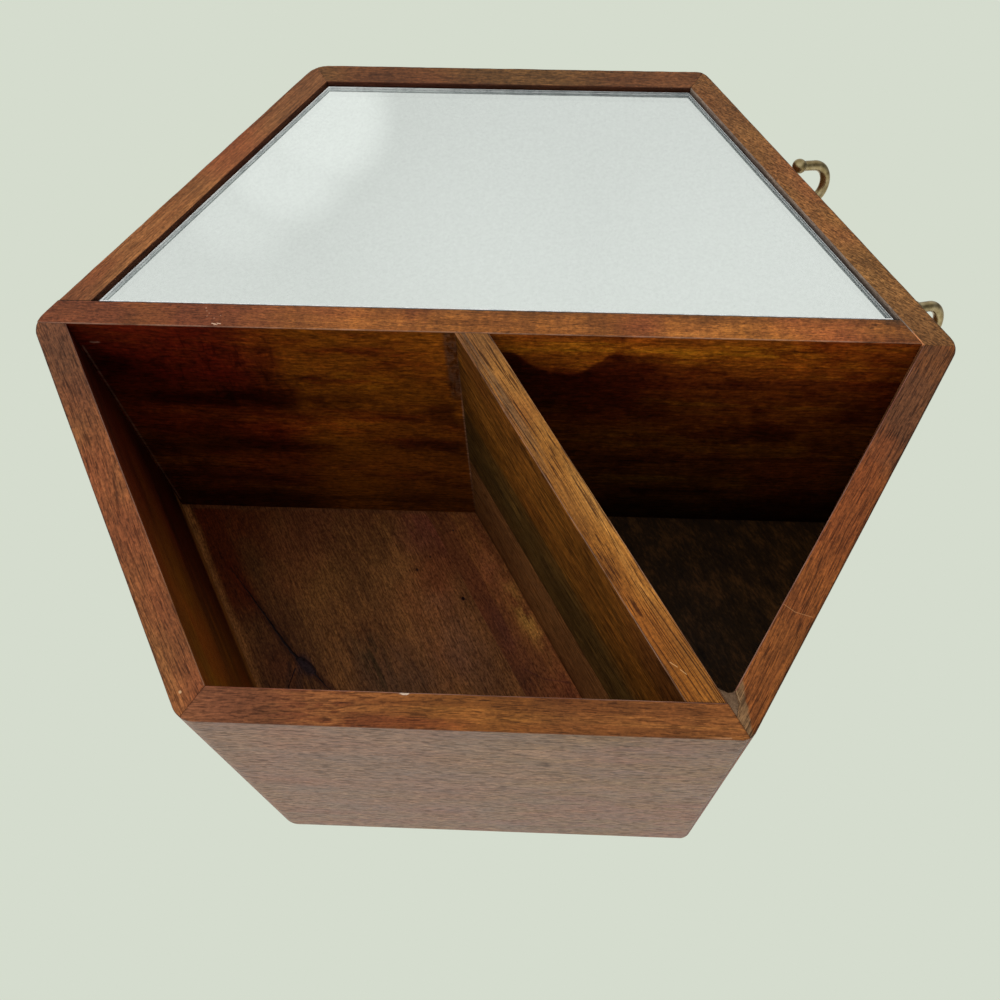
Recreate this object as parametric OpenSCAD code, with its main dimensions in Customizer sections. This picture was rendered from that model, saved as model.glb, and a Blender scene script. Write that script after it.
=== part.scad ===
// Hexagonal wall mirror with shelf, hung upright.
// Frame: X to the right, Z up, the wall is the plane Y = 0 and the front faces -Y.
// The origin is the hexagon's centre on the wall plane. All lengths in millimetres.

/* [Case] */
// Length of one side of the outer hexagon, which is half the corner-to-corner width
side = 200; // [180:1:240]
// Depth of the case from the wall to the front edges
depth = 176; // [150:1:220]
// Thickness of the outer boards, the partition and the shelf
board_t = 13; // [12:0.5:16]
// Distance from the corner-to-corner diagonal to the partition's compartment face
part_off = 0.8; // [0:0.1:2]

/* [Outer corner rounding] */
// Radius at the right corner
r_right = 13; // [4:1:14]
// Radius at the upper right corner
r_upper_right = 12; // [4:1:14]
// Radius at the upper left corner
r_upper_left = 10; // [4:1:14]
// Radius at the left corner
r_left = 6; // [4:1:14]
// Radius at the lower left corner
r_lower_left = 10; // [4:1:14]
// Radius at the lower right corner
r_lower_right = 7; // [4:1:14]

/* [Back panel] */
// Thickness of the panel's planks
panel_t = 8; // [6:0.5:9]
// How far the panel sits in front of the wall, which leaves room for the hangers
panel_recess = 5; // [5:0.5:7]
// Width of the rebate that the panel sits in
rebate_w = 6; // [5:0.5:7]
// Gap between the panel's edge and the rebate
panel_gap = 0.3; // [0.1:0.1:0.5]
// Height of the seam between the upper and the middle plank
seam_upper = 38; // [30:1:45]
// Height of the seam between the middle and the lower plank
seam_lower = -84; // [-95:1:-75]

/* [Mirror] */
// Thickness of the glass
glass_t = 3; // [3:0.5:5]
// How far the glass sits below the front edges
glass_recess = 1.6; // [1:0.1:3]
// Gap round the glass
glass_gap = 1.2; // [0.5:0.1:2]
// Thickness of the backing board
backing_t = 6; // [4:0.5:9]
// Width and depth of the cleats that carry the backing board
cleat_w = 12; // [10:1:15]

/* [Hooks] */
// Radius of the hooks' brass wire
wire_r = 2.45; // [2:0.05:2.6]
// Radius of the ball at the tip
ball_r = 3.5; // [3.3:0.1:4]
// Straight length of the shank below the board
shank_l = 14.2; // [13:0.1:18]
// Radius of the bend, on the wire's centre line
bend_r = 9; // [8.5:0.5:10]
// Angle of the bend
bend_angle = 163; // [155:1:170]
// Length of the tip leg, from the bend to the ball's centre
tip_l = 9.4; // [8:0.1:10]
// How far each hook is turned away from facing the front
hook_turn = 22; // [15:1:30]
// Place of the inner hook along the bottom board
hook1_x = 17.8; // [10:0.1:30]
// Distance of the inner hook from the front
hook1_in = 24.7; // [20:0.1:40]
// Place of the outer hook along the bottom board
hook2_x = -74.4; // [-76:0.1:-60]
// Distance of the outer hook from the front
hook2_in = 33.6; // [20:0.1:40]

/* [Hangers] */
// Distance of each hanger from the middle
hanger_x = 60; // [40:1:75]
// Height of the hanger rings' pivot above the middle
hanger_z = 118; // [112:1:125]
// Radius of the ring's wire
ring_r = 1.1; // [1:0.05:1.1]
// Radial clearance between the ring's wire and the strap's eye
ring_play = 0.05; // [0.03:0.01:0.08]

/* [Hidden] */
$fn = 64;
c30 = cos(30);
apo = side * c30;                    // centre to the outer faces
apo_in = apo - board_t;              // centre to the inner faces
side_in = apo_in / c30;              // centre to the inner corners
panel_front = panel_recess + panel_t; // from the wall to the panel's front face
panel_apo = apo_in + rebate_w - panel_gap;
pin_apo = apo_in + rebate_w / 2;     // the panel pins stand in the middle of the rebate
pin_r = 0.6;
pin_l = 20;
pin_s = 60;                          // the pins' distance from the middle of each side
silver_t = 0.2;
tape_t = 1;
y_glass = -(depth - glass_recess);   // front face of the glass
y_silver = y_glass + glass_t;
y_tape = y_silver + silver_t;
y_backing = y_tape + tape_t;
y_cleat = y_backing + backing_t;
part_in = part_off + board_t;        // diagonal to the partition's mirror face
thread_l = 11;                       // screwed length inside the bottom board
plate_t = 1;
eye_r = plate_t + ring_r + ring_play + 0.2;
y_eye = -panel_recess + eye_r;
// colours, as the piece looks in the light
c_red = [0.55, 0.29, 0.18];
c_gold = [0.66, 0.42, 0.20];
c_dark = [0.36, 0.22, 0.14];
c_grey = [0.53, 0.45, 0.39];
c_brass = [0.72, 0.62, 0.42];
c_steel = [0.62, 0.62, 0.60];

function corner(a, r = side) = [r * cos(a), r * sin(a)];

// a flat outline in the X-Z plane, carried from y_front back to y_back
module slab(y_front, y_back) {
    translate([0, y_back, 0]) rotate([90, 0, 0]) linear_extrude(y_back - y_front) children();
}
module hexagon(apothem) { polygon([for (k = [0:5]) corner(60 * k, apothem / c30)]); }
// the part of the plane between the lines at d0 and d1 from the diagonal, towards the mirror
module strip(d0, d1) { rotate(60) translate([-300, -d1]) square([600, d1 - d0]); }

// what the rounding takes off the corner at angle a
module round_off(a, r) {
    rotate(a) difference() {
        polygon([[side - r / c30, 0],
                 [side - r / c30 + (r + 3) * cos(-30), (r + 3) * sin(-30)],
                 [side + 8, 0],
                 [side - r / c30 + (r + 3) * cos(30), (r + 3) * sin(30)]]);
        translate([side - r / c30, 0]) circle(r, $fn = 96);
    }
}
module all_round_offs() {
    round_off(0, r_right);
    round_off(60, r_upper_right);
    round_off(120, r_upper_left);
    round_off(180, r_left);
    round_off(240, r_lower_left);
    round_off(300, r_lower_right);
}
// mitred stretch of the hexagonal ring between the corners at a0 and a0 + 60
module mitred(a0) {
    polygon([corner(a0), corner(a0 + 60), corner(a0 + 60, side_in), corner(a0, side_in)]);
}
// the space that the back panel takes out of the boards' rear edges
module rebate() { slab(-panel_front, 1) hexagon(apo_in + rebate_w); }

module pin_places() {
    for (k = [0:5], s = [-1, 1])
        rotate([0, -(30 + 60 * k), 0]) translate([pin_apo, 0, s * pin_s]) children();
}
module pin_holes() {
    pin_places() {
        translate([0, -panel_recess + 1, 0]) rotate([90, 0, 0]) cylinder(h = pin_l + 1.3, r = pin_r + 0.05, $fn = 24);
        translate([0, -panel_recess + 1, 0]) rotate([90, 0, 0]) cylinder(h = 1.7, r = 1.25, $fn = 24);
    }
}
// an outer board: outline as child, full depth, rebated and drilled for the pins
module outer_board() {
    difference() {
        slab(-depth, 0) difference() { children(); all_round_offs(); }
        rebate();
        pin_holes();
    }
}

module top_board() {
    color(c_red) outer_board() difference() {
        intersection() {
            hexagon(apo);
            polygon([corner(120), [160, apo], [160, apo_in], corner(120, side_in)]);
        }
        strip(part_off, 300);
    }
}
module upper_right_board() {
    color(c_red) outer_board() difference() { mitred(0); strip(-50, part_in); }
}
module lower_right_board() { color(c_dark) outer_board() mitred(300); }
module bottom_board() {
    color(c_red) difference() {
        outer_board() mitred(240);
        hook_place(hook1_x, hook1_in) translate([0, 0, -1]) cylinder(h = thread_l + 1.5, r = 2.35, $fn = 32);
        hook_place(hook2_x, hook2_in) translate([0, 0, -1]) cylinder(h = thread_l + 1.5, r = 2.35, $fn = 32);
    }
}
// the lower left board stops short of the left corner, where the filler is
module lower_left_board() {
    color(c_red) outer_board() polygon([corner(180), corner(240), corner(240, side_in),
        for (p = [[2.8, -2.8 / tan(30)], [-1.8, -3.6], [-5.6, 0]]) p + [-side_in, 0]]);
}
module upper_left_board() { color(c_grey) outer_board() mitred(120); }

module filler_outline() {
    translate([-side_in, 0]) polygon([[0, 0], [6.5, 0], [3.5, -2.3], [2.8, -2.8 / tan(30)], [-1.8, -3.6], [-5.6, 0]]);
}
module corner_filler() {
    color([0.42, 0.34, 0.26]) difference() { slab(-depth, -panel_front) filler_outline(); }
}

module partition_board() {
    color(c_red) difference() {
        slab(-depth, 0) difference() {
            intersection() { strip(part_off, part_in); hexagon(apo); }
            translate([-side - 50, -apo - 50]) square([side * 2, 50 + board_t]);
            all_round_offs();
        }
        rebate();
    }
}
module shelf_board() {
    color(c_gold) slab(-depth, -panel_front) difference() {
        intersection() {
            translate([-side, 0]) square([side * 2, board_t]);
            hexagon(apo_in);
        }
        strip(part_off, 400);
    }
}

module plank(z0, z1) {
    difference() {
        slab(-panel_front, -panel_recess) intersection() {
            hexagon(panel_apo);
            translate([-side, z0]) square([side * 2, z1 - z0]);
        }
        pin_holes();
    }
}
module back_plank_upper() {
    color(c_dark) difference() {
        plank(seam_upper, apo);
        for (s = [-1, 1], dz = [8, 21]) translate([s * hanger_x, -panel_recess + 1, hanger_z - dz])
            rotate([90, 0, 0]) cylinder(h = 8.2, r = 1.55, $fn = 24);
    }
}
module back_plank_middle() { color(c_dark) plank(seam_lower, seam_upper); }
module back_plank_lower() { color(c_dark) plank(-apo, seam_lower); }

module panel_pins() {
    color(c_steel) pin_places() translate([0, -panel_recess, 0]) rotate([90, 0, 0]) {
        translate([0, 0, 0.3]) cylinder(h = pin_l - 2.3, r = pin_r, $fn = 24);
        translate([0, 0, pin_l - 2]) cylinder(h = 2, r1 = pin_r, r2 = 0.15, $fn = 24);
        translate([0, 0, 0.1]) cylinder(h = 0.6, r = 1.15, $fn = 24);
    }
}

module mirror_outline(inset) {
    difference() { hexagon(apo_in - inset); strip(-300, part_in + inset); }
}
module mirror_glass() { color([0.80, 0.85, 0.85]) slab(y_glass, y_silver) mirror_outline(glass_gap); }
module mirror_silvering() { color([0.75, 0.78, 0.80]) slab(y_silver, y_tape) mirror_outline(glass_gap); }
module mirror_tape() {
    color([0.9, 0.9, 0.88]) slab(y_tape, y_backing)
        for (d = [40, 85, 130]) rotate(60) translate([-(150 - d * 0.6), -d - 6]) square([2 * (150 - d * 0.6), 12]);
}
module mirror_backing_board() { color([0.62, 0.48, 0.34]) slab(y_backing, y_cleat) mirror_outline(0.8); }
// a batten glued against an inner face whose outward normal is at angle a
module cleat(a, d, l) {
    color([0.70, 0.55, 0.38]) slab(y_cleat, y_cleat + cleat_w)
        rotate(a) translate([d - cleat_w, -l / 2]) square([cleat_w, l]);
}
module cleat_upper_right() { cleat(30, apo_in, 110); }
module cleat_lower_right() { cleat(-30, apo_in, 130); }
module cleat_bottom() { cleat(-90, apo_in, 110); }
module cleat_partition() { cleat(150, -part_in, 260); }

// puts a hook under the bottom board: local Z points up into the board
module hook_place(x, from_front) { translate([x, -depth + from_front, -apo]) children(); }
// screw hook: threaded end up, bend below, ball tip in front
module hook() {
    leg_r = wire_r - 0.05;           // the ball sits straight on the tip leg
    a0 = asin(leg_r / ball_r);
    color(c_brass) rotate([0, 0, -90 + hook_turn]) {
        // local X runs from the shank towards the tip
        // threaded end with its turns as rings, flange against the board, shank
        rotate_extrude($fn = 64) polygon(concat(
            [[0, -shank_l], [wire_r, -shank_l], [wire_r, -3.4], [2.9, -2.4], [3.6, -1.7], [5.6, -1.3], [6.2, -0.7], [6.2, 0], [1.75, 0]],
            [for (k = [0:6], p = [[1.75, 0.1 + k * 1.3], [2.3, 0.5 + k * 1.3], [2.3, 0.75 + k * 1.3], [1.75, 1.15 + k * 1.3]]) p],
            [[1.6, 9.6], [0.3, 10.9], [0, 10.9]]));
        // the bend turns about a point bend_r towards the tip
        translate([bend_r, 0, -shank_l]) rotate([90, 0, 0]) rotate([0, 0, 180])
            rotate_extrude(angle = bend_angle, $fn = 96) translate([bend_r, 0]) circle(wire_r, $fn = 64);
        // tip leg, set a little way into the bend, and the ball
        translate([bend_r, 0, -shank_l]) rotate([0, 180 - bend_angle, 0]) translate([bend_r, 0, 0])
            rotate_extrude($fn = 64) polygon(concat(
                [[0, -0.6], [leg_r, -0.6]],
                [for (k = [0:13]) let(a = 180 - a0 - (180 - a0) * k / 14) [ball_r * sin(a), tip_l + ball_r * cos(a)]],
                [[0.3, tip_l + ball_r], [0, tip_l + ball_r]]));
    }
}
module hook_inner() { hook_place(hook1_x, hook1_in) hook(); }
module hook_outer() { hook_place(hook2_x, hook2_in) hook(); }

// strap of a wall hanger: a plate on the panel with a rolled eye at its top
module hanger_strap(x) {
    color(c_steel) translate([x, 0, hanger_z]) difference() {
        union() {
            translate([-5, -panel_recess, -26]) cube([10, plate_t, 26]);
            translate([0, -panel_recess, -26]) rotate([-90, 0, 0]) cylinder(h = plate_t, r = 5, $fn = 48);
            translate([-5, y_eye, 0]) rotate([0, 90, 0]) cylinder(h = 10, r = eye_r, $fn = 48);
        }
        translate([-6, y_eye, 0]) rotate([0, 90, 0]) cylinder(h = 12, r = ring_r + ring_play, $fn = 48);
        for (dz = [8, 21]) translate([0, -panel_recess - 1, -dz]) rotate([-90, 0, 0]) cylinder(h = 3, r = 1.6, $fn = 32);
    }
}
// the ring hangs down from its bar, which turns in the strap's eye
module hanger_ring(x) {
    color(c_steel) translate([x, y_eye, hanger_z]) {
        translate([-7, 0, 0]) rotate([0, 90, 0]) cylinder(h = 14, r = ring_r, $fn = 32);
        for (s = [0, 1]) mirror([s, 0, 0]) {
            translate([7, 0, -2]) rotate([90, 0, 0]) rotate_extrude(angle = 90, $fn = 64) translate([2, 0]) circle(ring_r, $fn = 32);
            translate([9, 0, -5]) cylinder(h = 3, r = ring_r, $fn = 32);
            translate([0, 0, -5]) rotate([90, 0, 0]) rotate([0, 0, -90]) rotate_extrude(angle = 90, $fn = 96) translate([9, 0]) circle(ring_r, $fn = 32);
        }
    }
}
module hanger_strap_left() { hanger_strap(-hanger_x); }
module hanger_strap_right() { hanger_strap(hanger_x); }
module hanger_ring_left() { hanger_ring(-hanger_x); }
module hanger_ring_right() { hanger_ring(hanger_x); }
module hanger_screws() {
    color(c_steel) for (s = [-1, 1], dz = [8, 21])
        translate([s * hanger_x, -panel_recess + plate_t, hanger_z - dz]) rotate([-90, 0, 0]) difference() {
            union() {
                rotate_extrude($fn = 48) polygon([[0, 0], [2.9, 0], [2.9, 0.5], [2.3, 1.2], [1.4, 1.5], [0, 1.5]]);
                translate([0, 0, -7]) cylinder(h = 7.2, r = 1.5, $fn = 32);
            }
            for (t = [0, 90]) rotate([0, 0, t]) translate([-1.6, -0.3, 0.7]) cube([3.2, 0.6, 1.5]);
        }
}

top_board();
upper_right_board();
lower_right_board();
bottom_board();
lower_left_board();
upper_left_board();
partition_board();
shelf_board();
corner_filler();
back_plank_upper();
back_plank_middle();
back_plank_lower();
panel_pins();
mirror_glass();
mirror_silvering();
mirror_tape();
mirror_backing_board();
cleat_partition();
cleat_upper_right();
cleat_lower_right();
cleat_bottom();
hook_inner();
hook_outer();
hanger_strap_left();
hanger_strap_right();
hanger_ring_left();
hanger_ring_right();
hanger_screws();
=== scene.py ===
import math

import bmesh
import bpy
import numpy as np
from mathutils import Matrix, Vector, noise


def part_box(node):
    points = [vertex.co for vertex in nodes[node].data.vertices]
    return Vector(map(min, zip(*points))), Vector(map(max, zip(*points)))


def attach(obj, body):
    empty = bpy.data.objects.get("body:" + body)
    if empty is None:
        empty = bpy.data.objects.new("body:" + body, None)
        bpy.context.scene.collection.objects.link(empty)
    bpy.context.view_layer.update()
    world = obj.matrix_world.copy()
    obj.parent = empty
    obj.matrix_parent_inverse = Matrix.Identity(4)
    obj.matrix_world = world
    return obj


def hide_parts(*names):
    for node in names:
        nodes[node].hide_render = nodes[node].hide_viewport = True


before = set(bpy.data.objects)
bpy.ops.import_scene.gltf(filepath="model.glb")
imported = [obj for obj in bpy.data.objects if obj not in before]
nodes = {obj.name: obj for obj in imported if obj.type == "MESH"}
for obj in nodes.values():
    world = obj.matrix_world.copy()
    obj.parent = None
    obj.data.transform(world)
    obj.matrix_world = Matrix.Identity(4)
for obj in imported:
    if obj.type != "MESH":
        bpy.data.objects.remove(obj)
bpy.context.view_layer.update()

# ------------------------------------------------------------------ sizes, mm
SIDE, DEPTH, T = 200.0, 176.0, 13.0
C30, T30 = math.cos(math.pi / 6), math.tan(math.pi / 6)
APO = SIDE * C30
APO_IN = APO - T
SIDE_IN = APO_IN / C30
PART_OFF = 0.8
PANEL_Y = -13.0
REBATE_W = 6.0
RADII = {0: 13.0, 60: 12.0, 120: 10.0, 180: 6.0, 240: 10.0, 300: 7.0}
Y_GLASS, GLASS_T, GLASS_GAP = -174.4, 3.0, 1.2
MM = 0.001

lo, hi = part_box("top_board")
if abs(hi.z / MM - APO) > 0.3 or abs(lo.y / MM + DEPTH) > 0.3:
    raise RuntimeError("the case's sizes here don't match the packed model")


def nz(x, y=0.0, z=0.0):
    """smooth noise from -1 to 1, the same each run"""
    return noise.noise(Vector((x, y, z)))


def srgb(r, g, b):
    def f(c):
        c /= 255.0
        return c / 12.92 if c <= 0.04045 else ((c + 0.055) / 1.055) ** 2.4

    return (f(r), f(g), f(b), 1.0)


def direction(*v):
    return Vector(v).normalized()


# ------------------------------------------------------------------ shader nets
class Net:
    """small helper that wires shader nodes"""

    def __init__(self, tree):
        self.t = tree

    def node(self, kind, **props):
        n = self.t.nodes.new(kind)
        for k, v in props.items():
            setattr(n, k, v)
        return n

    def put(self, socket, value):
        if isinstance(value, bpy.types.NodeSocket):
            self.t.links.new(value, socket)
        elif value is not None:
            socket.default_value = value

    def math(self, op, a, b=None, c=None, clamp=False):
        n = self.node("ShaderNodeMath", operation=op, use_clamp=clamp)
        for i, v in enumerate((a, b, c)):
            if v is not None:
                self.put(n.inputs[i], v)
        return n.outputs[0]

    def vmath(self, op, a, b=None, scale=None):
        n = self.node("ShaderNodeVectorMath", operation=op)
        self.put(n.inputs[0], a)
        if b is not None:
            self.put(n.inputs[1], b)
        if scale is not None:
            self.put(n.inputs["Scale"], scale)
        return n.outputs["Value"] if op in ("DOT_PRODUCT", "LENGTH", "DISTANCE") else n.outputs[0]

    def mapping(self, v, loc=(0, 0, 0), rot=(0, 0, 0), scale=(1, 1, 1)):
        n = self.node("ShaderNodeMapping")
        self.put(n.inputs["Vector"], v)
        n.inputs["Location"].default_value = loc
        n.inputs["Rotation"].default_value = rot
        n.inputs["Scale"].default_value = scale
        return n.outputs[0]

    def noise(self, v, scale=1.0, detail=2.0, rough=0.5, distort=0.0, colour=False):
        n = self.node("ShaderNodeTexNoise")
        self.put(n.inputs["Vector"], v)
        n.inputs["Scale"].default_value = scale
        n.inputs["Detail"].default_value = detail
        n.inputs["Roughness"].default_value = rough
        n.inputs["Distortion"].default_value = distort
        return n.outputs["Color"] if colour else n.outputs["Fac"]

    def voronoi(self, v, scale=1.0, feature="F1", rand=1.0):
        n = self.node("ShaderNodeTexVoronoi", feature=feature)
        self.put(n.inputs["Vector"], v)
        n.inputs["Scale"].default_value = scale
        n.inputs["Randomness"].default_value = rand
        return n.outputs["Distance"]

    def span(self, v, a, b, c=0.0, d=1.0, smooth=True):
        """v from a..b to c..d, held at the ends"""
        n = self.node("ShaderNodeMapRange", interpolation_type="SMOOTHSTEP" if smooth else "LINEAR")
        n.clamp = True
        self.put(n.inputs["Value"], v)
        for key, value in zip(("From Min", "From Max", "To Min", "To Max"), (a, b, c, d)):
            n.inputs[key].default_value = value
        return n.outputs["Result"]

    def mix(self, fac, a, b, blend="MIX"):
        n = self.node("ShaderNodeMix", data_type="RGBA", blend_type=blend)
        n.clamp_factor = True
        self.put(n.inputs[0], fac)
        self.put(n.inputs[6], a)
        self.put(n.inputs[7], b)
        return n.outputs[2]

    def mixf(self, fac, a, b):
        n = self.node("ShaderNodeMix", data_type="FLOAT")
        self.put(n.inputs[0], fac)
        self.put(n.inputs[2], a)
        self.put(n.inputs[3], b)
        return n.outputs[0]

    def ramp(self, v, stops):
        n = self.node("ShaderNodeValToRGB")
        self.put(n.inputs[0], v)
        r = n.color_ramp
        while len(r.elements) < len(stops):
            r.elements.new(0.5)
        for e, (at, c) in zip(r.elements, stops):
            e.position = at
            e.color = c
        return n.outputs[0]

    def grey(self, v):
        """a number as a colour"""
        n = self.node("ShaderNodeCombineColor")
        for i in range(3):
            self.put(n.inputs[i], v)
        return n.outputs[0]

    def attribute(self, name):
        n = self.node("ShaderNodeAttribute", attribute_name=name)
        return n.outputs["Fac"]

    def bump(self, height, distance, strength=1.0, normal=None):
        n = self.node("ShaderNodeBump")
        self.put(n.inputs["Height"], height)
        n.inputs["Distance"].default_value = distance
        n.inputs["Strength"].default_value = strength
        if normal is not None:
            self.put(n.inputs["Normal"], normal)
        return n.outputs[0]

    def spot(self, p, centre, size, inner=0.35, jag=None):
        """1 inside an ellipsoid at centre (m), fading to 0 at its edge; jag roughens the outline"""
        q = self.vmath("SUBTRACT", p, centre)
        q = self.vmath("DIVIDE", q, size)
        r = self.vmath("LENGTH", q)
        if jag is not None:
            r = self.math("ADD", r, jag)
        return self.span(r, inner, 1.0, 1.0, 0.0)

    def stroke(self, p, a, b, width):
        """1 on the straight line from a to b (m), 0 further off than width"""
        a, b = Vector(a), Vector(b)
        ab = b - a
        pa = self.vmath("SUBTRACT", p, a)
        t = self.math("DIVIDE", self.vmath("DOT_PRODUCT", pa, ab), ab.length_squared, clamp=True)
        n = self.node("ShaderNodeVectorMath", operation="SCALE")
        n.inputs[0].default_value = ab
        self.put(n.inputs["Scale"], t)
        r = self.vmath("LENGTH", self.vmath("SUBTRACT", pa, n.outputs[0]))
        return self.span(r, width * 0.45, width, 1.0, 0.0)

    def principled(self, colour, rough, normal=None, **constants):
        n = self.node("ShaderNodeBsdfPrincipled")
        self.put(n.inputs["Base Color"], colour)
        self.put(n.inputs["Roughness"], rough)
        if normal is not None:
            self.put(n.inputs["Normal"], normal)
        for k, v in constants.items():
            n.inputs[k.replace("_", " ")].default_value = v
        return n


def material(name):
    m = bpy.data.materials.new(name)
    m.use_nodes = True
    m.node_tree.nodes.clear()
    net = Net(m.node_tree)
    net.out = net.node("ShaderNodeOutputMaterial")
    net.mat = m
    net.obj = net.node("ShaderNodeTexCoord").outputs["Object"]
    return net


def finish_material(net, shader):
    net.t.links.new(shader.outputs[0], net.out.inputs["Surface"])
    return net.mat


def photo_albedo(rgb, level, glare, gain=(1.0, 1.0, 1.0)):
    """the surface colour that shows as rgb (0-255) where the light is level and the sheen adds glare"""
    return tuple(min(0.9, max(0.002, (c - min(glare, 0.6 * c)) / level * g)) for c, g in zip(srgb(*rgb), gain)) + (1.0,)


class Paint:
    """what a wood's local features may change"""

    def __init__(self, net, p, g, albedo):
        self.net, self.p, self.g, self.albedo = net, p, g, albedo
        s = net.node("ShaderNodeSeparateXYZ")
        net.put(s.inputs[0], p)
        self.x = net.math("MULTIPLY", s.outputs[0], 1000.0)
        self.y = net.math("MULTIPLY", s.outputs[1], 1000.0)
        self.z = net.math("MULTIPLY", s.outputs[2], 1000.0)

    def mult(self, mask, rgb):
        self.colour = self.net.mix(mask, self.colour, self.net.mix(1.0, self.colour, (*rgb, 1.0), "MULTIPLY"))

    def tint(self, mask, rgb, k=1.0, grain=True):
        """towards the colour rgb; the fine grain and the pores stay visible in it"""
        m = self.net.math("MULTIPLY", mask, k) if k != 1.0 else mask
        c = self.albedo(rgb)
        if grain:
            c = self.net.mix(1.0, self.net.grey(self.shade), c, "MULTIPLY")
            c = self.net.mix(self.dark, c, self.net.mix(1.0, c, (0.16, 0.11, 0.09, 1.0), "MULTIPLY"))
        self.colour = self.net.mix(m, self.colour, c)

    def strands(self, length, width, seed=0.0, detail=4, rough=0.62):
        """noise drawn out along the grain, sizes in mm"""
        return self.net.noise(
            self.net.mapping(self.g, loc=(seed, seed * 1.7, seed * 0.6), scale=(1000.0 / length, 1000.0 / width, 1000.0 / width)),
            detail=detail,
            rough=rough,
        )

    def dull(self, mask, rough):
        self.shine = self.net.mixf(mask, self.shine, rough)

    def jag(self, size=6.0, k=0.9, seed=0.0):
        n = self.net.noise(self.net.mapping(self.p, loc=(seed, 0, 0)), scale=1000.0 / size, detail=2)
        return self.net.math("MULTIPLY", self.net.math("SUBTRACT", n, 0.5), k)

    def spot(self, centre, size, inner=0.3, jag=None):
        """an ellipsoid, sizes in mm; a None leaves that direction out"""
        keep = tuple(0.0 if c is None else 1.0 for c in centre)
        c = tuple((v or 0.0) * MM for v in centre)
        d = tuple((v or 1000.0) * MM for v in size)
        q = self.net.vmath("MULTIPLY", self.p, keep)
        return self.net.spot(q, c, d, inner, jag)

    def line(self, a, b, width):
        return self.net.stroke(self.p, tuple(v * MM for v in a), tuple(v * MM for v in b), width * MM)


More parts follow.
